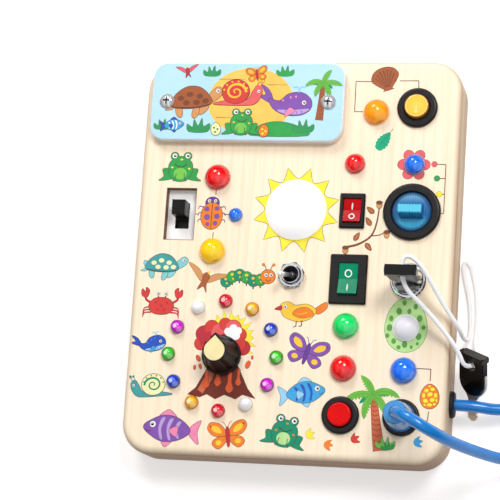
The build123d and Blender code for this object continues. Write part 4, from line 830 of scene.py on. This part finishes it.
def turtle(p, shell, skin, mark):
    p.spots(skin, "-6,-4.4,3,1.5,100 5,-4.6,3,1.5,40 -8.6,0,3,1.5,130 1.5,-5.4,3,1.5,70", edge=0.25)
    p.blob(skin, "6,-1 9,3 12,5 14.2,3.6 13.6,1.2 10,-1.4", 0.25)
    p.blob(skin, "-9,-1.6 -12.4,-3.2 -9,-3.2", 0.2)
    p.blob(shell, "-9.4,-2 -7.6,3 -2,6.4 4,5.6 8,1.4 8.6,-2.4 0,-3.6", 0.3)
    p.spots(mark, "-5,1.4 -0.8,2.8 3.6,1.6 -2.6,-0.9 2,-1.1 6.2,-0.8", 1.5, 1.2)
    p.curve("outline", "-9.2,-2.2 0,-3.3 8.4,-2.6", 0.35)
    p.eye(12.0, 3.2, 0.9)


def bird(p, body, wing, beak):
    p.blob(wing, "-7,0.4 -13,3.6 -13.4,0.6 -9,-1.8", 0.22)
    p.blob(body, "-8,0 -4,3.6 2,3.8 5,5.8 8.6,5.4 9.6,2.6 7.4,-1.6 1,-4.4 -5,-3.4", 0.28)
    p.blob(beak, "9,4.4 12.4,3.1 9.2,2.3", 0.2)
    p.blob(wing, "-3.6,2 1.6,1.8 3.6,-0.6 -1,-2.8 -6.6,-1.8", 0.22)
    p.curve(body, "-3.4,-0.4 -0.6,-0.8 1.6,-0.4", 0.5, 0.2)
    for x in (-0.6, 2.2):
        p.line("outline", [(x, -4), (x + 0.4, -6.6), (x + 1.8, -6.8)], 0.45)
    p.eye(7.0, 3.6, 0.95)


def swallow(p, body, wing):
    p.blob(wing, "-1,1 -5,5 -11,6.6 -6.4,2.4 -2,-1", 0.2)
    p.blob(wing, "1,1 5,4.6 11.4,5.6 6.4,1.8 2,-1", 0.2)
    p.blob(body, "-1.6,2.6 0.4,4 2,2 1.4,-2 2.6,-6 0.2,-3.4 -2.4,-5.8 -1.4,-1", 0.22)
    p.fill("gold", [(0.2, 3.6), (1.2, 5.6), (1.6, 3.2)])


def crab(p, body, dark):
    for side in (-1, 1):
        for k in range(3):
            y = -1 - k * 1.3
            p.line(dark, arc([(side * 5, y), (side * 8.4, y - 0.4), (side * 9.4, y - 2.8)]), 0.9, 0.4)
        p.curve(dark, "5,1 8,2.8 8.4,5", 1.2, 1.2, side)
        p.blob(body, "7.4,4.4 6.6,7.4 8.4,9 8.6,6.8 10.4,8.2 10.6,5.4 9,4", 0.25, side)
    p.blob(body, "-6.4,0 -4,3.2 0,4 4,3.2 6.4,0 4.6,-3.6 0,-4.6 -4.6,-3.6", 0.3)
    p.spots(dark, "-3,1.4 0,-0.2 3,1.4 -1.8,-2.2 1.8,-2.2", 0.7, steps=14)
    for side in (-1, 1):
        p.line(dark, [(side * 1.8, 3.4), (side * 2, 5.4)], 0.6)
        p.eye(side * 2, 5.9, 0.95)


def whale(p, body, belly, mark):
    p.blob(body, "-7,2 -9,6.6 -12.6,9 -10.4,4.6 -13.6,4.2 -9,1", 0.25)
    p.blob(body, "-9,2.6 -4,1.6 0,4.8 6,5.4 10.2,2.2 10.2,-2 6,-4.8 -1,-4.8 -6.6,-2", 0.3)
    p.blob(belly, "9.6,-2 6,-4.4 -1,-4.4 -4.8,-2.6 2,-2.6")
    for k in range(4):
        p.line(body, arc([(-1 + 2.4 * k, -3), (-0.6 + 2.4 * k, -4.3)]), 0.3)
    p.blob(mark, "0.6,-1.6 -1.4,-5.6 3.2,-3.2", 0.2)
    p.spots(mark, "1,3.2 3.4,3.6 -2.4,1.8", 0.5, steps=12)
    for side in (-1, 1):
        p.line("pale", arc([(4.6, 5.6), (4.6 + side * 0.8, 8), (4.6 + side * 2.8, 7.8)]), 0.7, 0.5)
    p.eye(7.2, 0.8, 1.0)


def snail(p, shell, body, swirl):
    p.blob(body, "-13,-5.4 -6,-3.4 4,-3.2 7.4,1.6 9.4,4.6 12,3.4 12,-0.4 9.4,-4.6 4,-5.8", 0.28)
    for x in (9.6, 11.4):
        p.line(body, arc([(x, 3.6), (x + 0.3, 5.6), (x + 1.1, 7)]), 0.7, 0.4)
        p.fill(swirl, oval(x + 1.1, 7.1, 0.65, steps=12), 0.12)
    p.fill(shell, oval(-1.6, 1.4, 7.2, 6.4), 0.32)
    spiral = []
    for k in range(26):
        a = k * 0.42
        spiral.append((-1.6 + (5.6 - 0.21 * k) * cos(a), 1.2 + (4.9 - 0.18 * k) * sin(a)))
    p.line(swirl, spiral, 1.3, 0.5)
    for k in range(6):
        a = radians(20 + 30 * k)
        p.fill(swirl, oval(-1.6 + 6.3 * cos(a), 1.4 + 5.5 * sin(a), 0.5, steps=10))
    p.eye(10.6, 1.6, 0.8)


def butterfly(p, wing, spot, body):
    for side in (-1, 1):
        p.blob(wing, "0.6,0.6 3.4,6 8.6,7.6 10.4,4.4 7,0.4", 0.26, side)
        p.blob(wing, "0.6,-0.4 6.4,-0.8 8.6,-3.6 5.6,-6.4 2,-4", 0.26, side)
        p.blob(spot, "3,2 4.8,5 8,5.8 8,3.6 5.4,1.8", 0, side)
        p.fill(spot, oval(side * 5.2, -3.2, 1.6, 1.3))
        p.fill(body, oval(side * 8.8, 5.6, 0.55, steps=10))
        p.curve(body, "0.3,4 1.4,6.6 2.6,7.4", 0.3, 0.3, side)
    p.blob(body, "0,4.8 1,2.6 0.8,-4 0,-6 -0.8,-4 -1,2.6", 0.16)


def caterpillar(p, body, spot, head):
    for i, (x, y) in enumerate(dots("-13,-2.2 -9.4,0.6 -5.2,1.8 -0.8,0.4 3.4,-1.4 7.6,-0.8")):
        p.line("outline", [(x, y - 2.6), (x + 0.2, y - 5)], 0.7)
        p.fill(body if i % 2 else "pine", oval(x, y, 3.4, 3.5), 0.28)
        p.fill(spot, oval(x - 0.2, y + 1.4, 1.0, 0.8))
        p.fill(spot, oval(x + 0.4, y - 1.2, 0.6, 0.5))
    for side in (-1, 1):
        p.line("outline", arc([(12 + side * 1.2, 4.4), (12 + side * 1.8, 7), (12 + side * 3, 8.2)]), 0.4)
        p.fill(head, oval(12 + side * 3.1, 8.4, 0.8, steps=12), 0.12)
    p.fill(head, oval(12, 1.2, 4.3, 4.1), 0.3)
    p.eye(10.8, 2.2, 1.1)
    p.eye(13.8, 2.2, 1.1)
    p.curve("outline", "10.8,-0.6 12.3,-1.6 13.8,-0.6", 0.4)


def frog(p, body, belly, mark):
    for side in (-1, 1):
        p.blob(body, "4,-1 9.6,-0.6 9,-4.8 11.6,-7 6.4,-6.6 3,-5", 0.26, side)
        p.fill(body, oval(side * 3.6, 6.4, 2.2, 2.2), 0.26)
    p.blob(body, "-6,3 0,6.4 6,3 6.2,-3 3,-7 -3,-7 -6.2,-3", 0.28)
    p.fill(belly, oval(0, -3.2, 3.6, 3.2))
    for side in (-1, 1):
        p.curve("outline", "2.2,-3 2.6,-6 3.6,-7.4", 0.35, 0.35, side)
        p.eye(side * 3.6, 6.6, 1.35)
    p.curve("outline", "-3.4,2 0,0.4 3.4,2", 0.45)
    p.spots(mark, "-4.6,0.2 4.8,-0.4 0.4,4.6", 0.7, 0.5)


def beetle(p, body, spot, head):
    for side in (-1, 1):
        for y in (-4, 0, 4):
            p.line(head, arc([(side * 5, y), (side * 7.6, y + 0.6), (side * 8.4, y - 1.2)]), 0.7, 0.4)
    p.fill(head, oval(0, 6.8, 4.2, 3.6), 0.26)
    p.fill(body, oval(0, -1.2, 6.6, 8.2), 0.3)
    p.line("outline", [(0, 7), (0, -9.4)], 0.4)
    p.spots(spot, "-3.2,3,1.4 3,3.4,1.3 -2.8,-2,1.7 3.2,-1.4,1.5 -2.2,-6.2,1.1 2.4,-5.6,1.3", edge=0.1)
    for side in (-1, 1):
        p.eye(side * 1.9, 8, 1.0)


def twig(p):
    p.curve("bark", "-12,-11 -5,-9 2,-4 5,4 6,13", 1.5, 0.8)
    p.curve("bark", "2,-4 8,-3 11,0", 0.8, 0.5)
    for x, y, t in dots("-8,-7,60 -1,-8.6,-50 1.4,2.4,120 9,6.6,40 3,10,140"):
        c, s = polar(1.0, radians(t))
        blade = [(x + u * c - v * s, y + u * s + v * c) for u, v in dots("0,0 2,1.5 5.6,0 2,-1.5")]
        p.fill("brown", smooth(blade), 0.22)
        p.line("tan", [(x + 0.6 * c, y + 0.6 * s), (x + 4.4 * c, y + 4.4 * s)], 0.3)
    for x, y in dots("11.4,-2.4 6,15.6 -13,-12.4"):
        p.fill("tan", oval(x, y - 0.6, 1.6, 2.2), 0.22)
        p.fill("bark", oval(x, y + 0.9, 1.9, 1.1), 0.16)


def scallop(p, body, rib):
    p.blob(body, "-2,-6.4 -8,0 -7.4,4 -4.4,6.6 0,7.4 4.4,6.6 7.4,4 8,0 2,-6.4 0,-7.2", 0.28)
    for k in range(-3, 4):
        p.line(rib, [(0.3 * k, -5.4), polar(6.4, radians(90 - 22 * k), 0, -0.4)], 0.3, 0.7)
    p.fill(body, [(-3.4, -7.2), (3.4, -7.2), (1.6, -5), (-1.6, -5)], 0.2)


def frond(p, tone, rim, bearing, reach, droop, wide):
    """A palm leaf from the crown outwards: smooth along its back, cut into fingers below."""
    a = radians(bearing)
    side = -1 if cos(a) > 0 else 1
    spine = []
    for i in range(9):
        t = i / 8
        bend = a + side * droop * t
        spine.append(polar(reach * t, bend))
    back_edge, fingers = [], []
    for i, (x, y) in enumerate(spine):
        (x0, y0), (x1, y1) = spine[max(i - 1, 0)], spine[min(i + 1, 8)]
        size = hypot(x1 - x0, y1 - y0)
        nx, ny = -(y1 - y0) / size * side, (x1 - x0) / size * side
        half = wide * 0.5 * sin(pi * (0.1 + 0.9 * i / 8)) ** 0.7
        back_edge.append((x - nx * half * 0.8, y - ny * half * 0.8))
        fingers.append((x + nx * half * 1.25, y + ny * half * 1.25))
        if 0 < i < 8:
            fingers.append((x + nx * half * 0.55 + (x1 - x0) * 0.22, y + ny * half * 0.55 + (y1 - y0) * 0.22))
    p.fill(tone, back_edge + fingers[::-1], 0.24, rim)
    p.line(rim, spine[:8], 0.4, 0.2)


def palm(p, trunk, rim, front, back):
    """A palm whose crown is at the pen's own place."""
    line = arc(dots("5.2,-32 3.2,-20 1.6,-9 0.2,0"), 8)
    p.sheet.add(rim, stroke(p.at(line), 7.0 * p.size, 3.4 * p.size))
    p.sheet.add(trunk, stroke(p.at(line), 6.4 * p.size, 2.8 * p.size))
    for k in range(1, 12):
        x, y = line[min(len(line) - 2, 2 * k)]
        half = 3.0 - 0.14 * k
        p.line(rim, [(x - half, y + 0.7), (x - 0.4, y - 0.4), (x + half, y + 0.5)], 0.32)
    for tone, vein, wide, leaves in (
        (back, "pine", 3.0, "196,9,0.3 20,9,0.3"),
        (front, "fern", 4.6, "104,13.4,0.35 166,16.6,0.45 40,15.4,0.75 226,14.6,0.45 -26,13,0.5"),
    ):
        for bearing, reach, droop in dots(leaves):
            frond(p, tone, vein, bearing, reach, droop, wide)


def tuft(p, tone):
    p.blob(tone, "-5,-1 -6,3 -3.2,1.4 -2.6,5.6 -0.4,2 1.4,6.2 2.4,1.8 5.6,3.4 4.6,-1", 0.15, steps=3)


def leaf(p, tone, vein):
    """A leaf with a toothed edge, its tip down to the left."""
    p.curve("line", "3.6,5 6.6,9.2", 0.5, 0.4)
    left, right = [], []
    for i in range(13):
        t = i / 12
        x, y = -5.2 + 9.4 * t, -8.0 + 14.0 * t
        half = 4.9 * sin(pi * (0.06 + 0.94 * t) ** 0.85) ** 0.8 + 0.1
        tooth = 1.0 if i % 2 else 0.8
        left.append((x - 0.83 * half * tooth, y + 0.56 * half * tooth))
        right.append((x + 0.83 * half * tooth, y - 0.56 * half * tooth))
    p.fill(tone, left + right[::-1], 0.2, vein)
    p.curve(vein, "-5,-7.6 -0.6,-1.2 4,5.6", 0.42)
    for k in range(1, 6):
        x, y = -5.2 + 9.4 * (0.1 + 0.14 * k), -8.0 + 14.0 * (0.1 + 0.14 * k)
        p.line(vein, [(x, y), (x - 1.7, y + 2.6)], 0.26, 0.12)
        p.line(vein, [(x, y), (x + 2.9, y - 0.2)], 0.26, 0.12)


def egg(p, body, spot, spots, edge="outline"):
    shape = [(9.6 * x * (1 - 0.12 * y), 12.6 * y) for x, y in oval(0, 0, 1.0, steps=40)]
    p.fill(body, shape, 0.3, edge)
    p.spots(spot, spots)


def paw(p, tone):
    p.blob(tone, "-2,-1.6 -3.4,1.6 -1.6,0.8 -0.2,3 1,0.8 3.2,2 2.2,-1.4 0.2,-2.6", 0.12, steps=4)


def volcano(p):
    """A cone with running lava under a round cloud and a burst of yellow."""
    burst = []
    for k in range(22):
        a = radians(-34 + 8 * k)
        r = (17.4 if k % 2 else 13.2) + 1.1 * sin(2.3 * k)
        burst.append((1.8 + r * cos(a) * 0.98, 26.0 + r * sin(a)))
    p.fill("yellow", burst + [(0, 22)], 0.22)
    puffs = (
        ("red", -14.6, 23.4, 3.9), ("crimson", -13.2, 29.4, 4.8), ("red", -8.6, 33.4, 4.3),
        ("crimson", -9.6, 25.0, 5.8), ("rose", -2.6, 30.2, 6.0), ("red", -0.4, 35.4, 3.8),
        ("rose", 4.8, 33.4, 4.8), ("red", 9.0, 29.4, 4.0), ("crimson", 11.4, 21.6, 4.4),
        ("red", 7.4, 24.0, 5.2), ("crimson", 1.2, 24.2, 6.2),
    )
    for tone, x, y, r in puffs:
        p.fill("magma", oval(x, y, r + 0.3))
    for tone, x, y, r in puffs:
        p.fill(tone, oval(x, y, r))
    p.spots("white", "1.6,31.2,2.3 4.8,33.2,2.5 8,31.8,2.2 6.6,28.8,2.6 3,28.4,2.2 5,30.8,2.4")
    p.fill("magma", dots(
        "-20.4,-7.4 -15.6,-3.4 -7.6,12 -4.6,17 5.4,17 8.8,11 15.8,-3 21,-8.6 13,-6.4 9,-9.2 2,-6.8 -3.4,-9.6 "
        "-8.8,-6.8 -13,-8.8"
    ), 0.3)
    p.fill("rust", dots("-14.6,-4.6 -7.4,9.6 -4,10.4 -6,2 -9.4,-3.2 -11.2,-6.8"))
    drop = dots("-0.4,1 -0.5,0 -1,-0.6 0,-0.95 1,-0.6 0.5,0 0.4,1")
    for x, y, w, h in dots("-9.6,1.6,2,5.2 -2.6,4,2.1,6.4 4.8,0.6,2.3,6.8 10,3.4,1.7,5"):
        p.fill("lava", smooth([(x + u * w, y + v * h) for u, v in drop]), 0.2)
    p.spots("lava", (
        "-15.6,14.4,1.125,2.025,30 -17.4,8.8,0.75,1.35 15.2,11.6,1.35,2.43,-20 17.6,16,0.6,1.08 "
        "-14,9.6,0.825,1.485,20"
    ), edge=0.14)


# ---------- prints on the face
def level(z):
    """Places on a flat side that looks up, at a height in millimetres."""
    return lambda x, y, lift: (x * MM, y * MM, (z + lift) * MM)


def draw(sheet, figures):
    """Draw rows of a figure, its pen ("x,y,size,turn,flip,base" or the first of them), its tones and more."""
    for figure, pen, tones, *more in figures:
        figure(Pen(sheet, *dots(pen)[0]), *tones.split(), *more)


MANY_SPOTS = (
    "-1.2,10.1,0.95,1.2 4,8.5,1,1.35 1.2,6.3,0.95,1.3 -3.5,6.2,1.3,1.6 6.1,3.2,1.25,1.6 -6.9,2.8,0.95,1.35 "
    "8.1,-1,0.95,1 -7.5,-1.5,1.3,1.6 6,-5.2,1.3,1.65 -8.3,-5.2,0.85,1 -5.3,-7.6,1.1,1.3 -0.2,-9,1.2,1.6 "
    "5.6,-8.5,0.65,0.75 -2.9,-10.4,0.95,1 2.9,-10.2,0.65,0.85"
)
LARGE_SPOTS = (
    "-3.6,6,2.3,1.8,20 2.6,7.6,2.3,1.7,-10 0.2,2.2,2.7,2.1,20 -6.2,0.8,1.6,2.5 6,1.4,1.7,2.6 "
    "-4.2,-4.6,2.6,2,-20 2.8,-3.4,2.5,2,10 7.2,-3.8,1,1.6 0.2,-8.6,2.6,1.6 5.2,-7.8,1.5,1.3,30 "
    "-4.8,-8.9,1.3,1 -0.6,10.6,1.5,0.9"
)
face = Sheet("face_print", level(30.0))
WIRE = 0.5
for route in (
    "41.7,107 32.3,107.1 32.5,88.5 37.5,88.5", "58.6,107.6 69.9,107.7 70.1,103.2",
    "83,57 88.5,56.9 88.5,27.5 87.1,27.5", "84.8,48.5 88.5,48.5", "86.4,39 88.5,39",
    "77.6,-64 85.7,-64.1 85.7,-71", "85.6,-88.6 85.2,-94 81,-94.1", "-48.5,36.4 -48.5,40",
    "-48.5,13.4 -48.5,9.6", "-60.4,24.4 -58.4,24.4", "-42.8,24.4 -39.6,24.4",
):
    face.layer = 0
    corners = dots(route)
    for leg in zip(corners, corners[1:]):
        face.add("line", stroke(leg, WIRE))
for tone, x, y in (("rose", 81.7, 57.0), ("moss", 83.6, 48.5), ("yellow", 85.3, 39.0)):
    Pen(face, x, y).fill(tone, oval(0, 0, 1.7), 0.14)

sun = []
for k in range(12):
    for s in range(10):
        t = s / 10
        sun.append(polar(18.9 + 7.2 * abs(2 * t - 1) ** 1.9, radians(14.4 + 30 * (k + t)), 1.0, 28.0))
Pen(face, 0, 0).fill("yellow", sun, 0.3, "line")
flower = Pen(face, 69.6, 56.6)
for turn in range(60, 420, 60):
    flower.fill("rose", oval(*polar(6.2, radians(turn)), 3.4, 3.1, turn), 0.22)
draw(face, (
    (leaf, "51.3,71.5,0.74", "jade pine"),
    (egg, "70,-38.8,1.27", "mint fern", MANY_SPOTS, "fern"),
    (egg, "85.8,-79.9,0.56", "orange yellow", LARGE_SPOTS),
    (palm, "53,-80.4", "rust magma frond pine"),
    (tuft, "61.8,-109.6,0.95,0,0,46", "lime"),
    (tuft, "63.4,-110.6,0.62,10,0,50", "green"),
    (scallop, "50,108.6,0.98,18", "brown bark"),
    (beetle, "-50.2,24.6", "orange purple violet"),
    (frog, "-71.5,52.6,1.12", "green lime yellow"),
    (twig, "44.6,17.2,0.98", ""),
    (turtle, "-78,-7.4,1.08", "teal aqua cream"),
    (swallow, "-51.5,-15.5,1.15,-14", "brown tan"),
    (caterpillar, "-25.4,-13.8", "green gold orange"),
    (crab, "-77,-31.6,1.18", "red crimson"),
    (whale, "-81.4,-55.2,0.84,14", "blue pale sky"),
    (snail, "-79.6,-80.6,0.98,6,1", "cream teal pine"),
    (fish, "-66.5,-105,1.42,-4,1", "purple pink lilac"),
    (butterfly, "-31,-107.4,1.12,8", "orange gold crimson"),
    (frog, "2.6,-104,1.14,-10", "pine mint orange"),
    (fish, "12.4,-80.6,1.14,10", "sky pale blue"),
    (butterfly, "12.6,-57,1.2,-16", "purple gold violet"),
    (bird, "7.2,-33.4,1.2,8,1", "gold orange crimson"),
    (volcano, "-36.8,-76.6,0.98", ""),
    (paw, "17.6,-104.6,0.95,-70", "yellow"),
    (paw, "28.6,-110.2,0.95,-100", "orange"),
    (paw, "44,-106,0.95,-60", "red"),
    (paw, "80.4,-106.4,0.95,-80", "sky"),
))
face.finish()

# ---------- print on the battery cover
THREE_SPOTS = "-3,3,2.4,2 3.6,-1,2.2,2.4 -2,-6,2.6,2"
cover = Sheet("cover_print", level(36.0))
Pen(cover, -30.0, 92.8).fill("amber", oval(0, 0, 26.0, 20.4, 0, 60), 0.2, "gold")
for x, y, half in dots("-42,106.4,8 -14,103,6 -46,82.6,4.5 -14,78.4,7"):
    Pen(cover, x, y, base=3).line("outline", [(-half, 0), (half, 0)], 0.35, 0.2)
Pen(cover, -12, 77, 1.3, base=4).blob("green", "-13,-4 -8,1 0,2.6 9,0.6 14,-4", 0.2, steps=4)
draw(cover, (
    (tuft, "-60.6,74.8,1.2,0,0,7", "moss"),
    (tuft, "3.4,75.2,1.1,0,0,7", "moss"),
    (tuft, "-9.6,109.6,0.9,0,0,7", "green"),
    (tuft, "-54.6,109.4,0.9,0,0,7", "moss"),
    (tuft, "-83,76,0.9,0,0,7", "moss"),
    (palm, "13.8,104,0.7,6,1,12", "brown bark frond moss"),
    (turtle, "-66,93,1.36,6,0,12", "brown tan bark"),
    (snail, "-37.4,97,1.16,0,0,42", "red rose gold"),
    (whale, "-6.8,91,1.34,0,0,12", "purple lilac pink"),
    (frog, "-34.6,79.4,1,0,0,40", "green lime gold"),
    (egg, "-20.6,74.6,0.3,0,0,40", "orange yellow", THREE_SPOTS),
    (egg, "-50,75.4,0.3,10,0,40", "cream moss", THREE_SPOTS),
    (butterfly, "-27,109.4,0.62,10,0,12", "orange gold crimson"),
    (swallow, "-70,111,0.62,10,0,12", "crimson rose"),
    (fish, "-76.6,77.6,0.6,6,0,12", "sky blue white"),
))
cover.finish()


# ---------- chart on the back
def star(points):
    return [polar(3.2 if k % 2 else 6.8, pi / 2 + pi * k / points) for k in range(2 * points)]


PANEL_Z = 0.4
back = Sheet("back_print", lambda x, y, lift: (-x * MM, y * MM, (PANEL_Z - lift) * MM))
TONES = "blue gold sky moss purple green rose orange teal pink red lime crimson brown violet".split()
SHAPES = (
    oval(0, 0, 6.4), dots("-5.8,-5.8 5.8,-5.8 5.8,5.8 -5.8,5.8"), dots("-6.6,-5.2 6.6,-5.2 0,6.4"), star(5),
    smooth(dots("0,-6.4 -6.6,0.6 -5,5.2 -1.4,4.8 0,2.8 1.4,4.8 5,5.2 6.6,0.6")),
    [polar(6.6, radians(turn)) for turn in range(0, 360, 60)],
    smooth(dots("-6,-2.6 -6.4,1 -3.6,3 -1,5.4 3,4.4 4,2 6.6,0.8 5.8,-2.6")), star(8),
    dots("0,-7 5,0 0,7 -5,0"), oval(0, 0, 7.0, 4.4, 30),
)
ROWS, COLUMNS = 7, 5
for index in range(ROWS * COLUMNS):
    row, column = divmod(index, COLUMNS)
    mark = Pen(back, -64 + 32 * column, 96 - 30.6 * row)
    tone = TONES[(index * 4 + row) % len(TONES)]
    mark.fill(tone, SHAPES[(index * 3 + row) % len(SHAPES)], 0.35)
    spot = "crimson" if tone == "gold" else "white"
    for turn in range(0, 360, 120):
        a = radians(turn + 25 * index)
        mark.fill(spot, oval(2.4 * cos(a), 2.0 * sin(a) - 0.3, 0.7, steps=12))
    mark.line("grey", [(-5, -10.2), (5, -10.2)], 1.0)
back.finish()


# ---------- marks on the rocker buttons
def rocker_mark(name, node, body, outlines):
    """Rings of paint laid on a button's upper side, each an outer outline followed by an inner one."""
    button = bmesh.new()
    button.from_mesh(NODES[node].data)
    tree = BVHTree.FromBMesh(button)
    button.free()
    bm = bmesh.new()
    for points in outlines:
        feet = [tree.ray_cast(Vector((x * MM, y * MM, 0.1)), Vector((0, 0, -1)))[0] for x, y in points]
        lifts = (Vector((0, 0, 0.05 * MM)), Vector((0, 0, -0.05 * MM)))
        top, bottom = ([bm.verts.new(foot + lift) for foot in feet] for lift in lifts)
        n = len(points) // 2
        for i in range(n):
            j = (i + 1) % n
            quad = (i, j, n + j, n + i)
            bm.faces.new([top[k] for k in quad])
            bm.faces.new([bottom[k] for k in reversed(quad)])
            bm.faces.new((bottom[i], bottom[j], top[j], top[i]))
            bm.faces.new((top[n + i], top[n + j], bottom[n + j], bottom[n + i]))
    give(mesh_object(name, bm, body, smooth=False), PAINT)


def hoop(x, y, rx, ry, width):
    return oval(x, y, rx, ry, steps=32) + oval(x, y, rx - width, ry - width, steps=32)


ROCKER_X = middle("red_rocker_button")[0]
PAINT = plastic("mark_paint", (244, 246, 244), 0.45, 400.0, 0.03)
rocker_mark("red_rocker_marks", "red_rocker_button", "red_rocker",
            [hoop(ROCKER_X, 30.6, 0.42, 2.2, 0.36), hoop(ROCKER_X, 24.4, 1.8, 1.8, 0.6)])
rocker_mark("green_rocker_marks", "green_rocker_button", "green_rocker",
            [hoop(ROCKER_X, -9.6, 2.2, 2.4, 0.65), hoop(ROCKER_X, -18.2, 0.42, 2.2, 0.36)])


# ---------- small trim
TOGGLE = (1.0, -11.5)


def washer(name, inner, outer, z0, z1, teeth):
    """A toothed lock washer round the toggle: a ring with twisted teeth round its rim."""
    bm = bmesh.new()
    rows = []
    steps = teeth * 6
    for i in range(steps):
        tooth = (i % 6) / 6
        reach = outer if tooth < 0.6 else outer - 1.0
        lift = 0.35 * tooth
        rows.append([
            ring(bm, [polar(r, 2 * pi * i / steps, *TOGGLE)], z)[0]
            for r, z in ((inner, z0), (reach, z0 + lift * 0.3), (reach, z1 + lift), (inner, z1))
        ])
    for i in range(steps):
        j = (i + 1) % steps
        for k in range(4):
            m = (k + 1) % 4
            bm.faces.new((rows[i][k], rows[j][k], rows[j][m], rows[i][m]))
    return mesh_object(name, bm)


toothed = give(washer("toothed_washer", 5.95, 7.6, 30.0, 30.45, 14), CHROME)
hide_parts("toggle_washer")
for turn in range(3):
    z = 33.35 + 0.5 * turn
    bm = bmesh.new()
    rings = [
        ring(bm, [polar(radius, 2 * pi * i / 48, *TOGGLE) for i in range(48)], height)
        for radius, height in ((5.8, z - 0.18), (6.05, z), (5.8, z + 0.18))
    ]
    loft(bm, rings, closed=True)
    give(mesh_object(f"bushing_thread_{turn}", bm), CHROME)

# The browned sides of the slot that the slide switch stands in, with a thin lip on the face
SLOT_X, SLOT_Y, HALF_WIDTH, HALF_HEIGHT = -69.6, 24.3, 9.01, 15.66
bm = bmesh.new()
rings = []
for inset, z in ((0.0, 24.6), (0.0, 30.0), (-0.35, 30.02), (-0.35, 30.0), (0.05, 24.6)):
    w, h = HALF_WIDTH - inset, HALF_HEIGHT - inset
    rings.append(ring(bm, [(SLOT_X + sx * w, SLOT_Y + sy * h) for sx, sy in dots("-1,-1 1,-1 1,1 -1,1")], z))
loft(bm, rings)
give(mesh_object("slot_edge", bm, smooth=False), burnt_pine())

# ---------- floor, light and background
bm = bmesh.new()
bm.faces.new([bm.verts.new((x, y, -0.0002)) for x, y in dots("-3,-3 3,-3 3,3 -3,3")])
floor = mesh_object("floor", bm, body=None, smooth=False)
paper = Finish("floor_paper", Roughness=0.9, Specular_IOR_Level=0.1, Emission_Color=WHITE)
paper.set(Base_Color=(0.78, 0.745, 0.735, 1))
FLOOR_GLOW = 0.5
paper.set(Emission_Strength=paper.maths("MULTIPLY", paper.white_rays(), FLOOR_GLOW))
give(floor, paper.material)

AMBIENT = 0.41
world = bpy.data.worlds.new("studio")
bpy.context.scene.world = world
world.use_nodes = True
world.node_tree.nodes.clear()
sky = Nodes(world.node_tree)
light, seen = (sky.node("Background", {"Color": WHITE, "Strength": power}) for power in (AMBIENT, 1.0))
choice = sky.node("MixShader", {0: sky.white_rays(), 1: light.outputs[0], 2: seen.outputs[0]})
sky.node("OutputWorld", {"Surface": choice.outputs[0]})

# A studio tent seen only in reflections, dark below and lit above, gives chrome and gloss their contrast
bm = bmesh.new()
rings = [
    [bm.verts.new((*polar(radius, radians(a)), z)) for a in range(0, 360, 10)]
    for radius, z in ((1.9, -0.05), (1.9, 0.9), (1.5, 1.8), (0.9, 2.3))
]
loft(bm, rings)
wall = mesh_object("studio_tent", bm, body=None)
for ray in ("camera", "diffuse", "transmission", "volume_scatter", "shadow"):
    setattr(wall, "visible_" + ray, False)
tent = Finish("tent_cloth", Roughness=1.0, Emission_Color=WHITE)
STRIPE_RADIANS_PER_METRE, GLOW_FROM, GLOW_FULL = 3.2, 0.45, 1.9
waves = tent.maths("SINE", tent.maths("MULTIPLY", tent.part(tent.place, "X"), STRIPE_RADIANS_PER_METRE))
stripes = tent.range(waves, -0.2, 0.2, 0.25, 1.0)
glow = tent.range(tent.part(tent.place, "Z"), GLOW_FROM, GLOW_FULL, 0.0, 0.95)
tent.set(
    Base_Color=tent.ramp(tent.noise(1.0), (0.0, grey(0.02)), (1.0, grey(0.04))),
    Emission_Strength=tent.maths("MULTIPLY", glow, stripes),
)
give(wall, tent.material)

for name, location, aim, size, watts in (
    ("key_light", (-0.45, 1.2, 1.0), (0, 0, 0.02), (0.62, 0.5), 12.4),
    ("top_light", (0.6, 0.62, 1.4), (0.05, 0, 0.02), (0.5, 0.5), 13.6),
):
    data = bpy.data.lights.new(name, "AREA")
    data.shape = "RECTANGLE"
    data.size, data.size_y = size
    data.energy = watts
    obj = bpy.data.objects.new(name, data)
    bpy.context.scene.collection.objects.link(obj)
    obj.location = location
    obj.rotation_euler = (Vector(aim) - Vector(location)).to_track_quat("-Z", "Y").to_euler()

scene = bpy.context.scene
scene.view_settings.view_transform = "Standard"
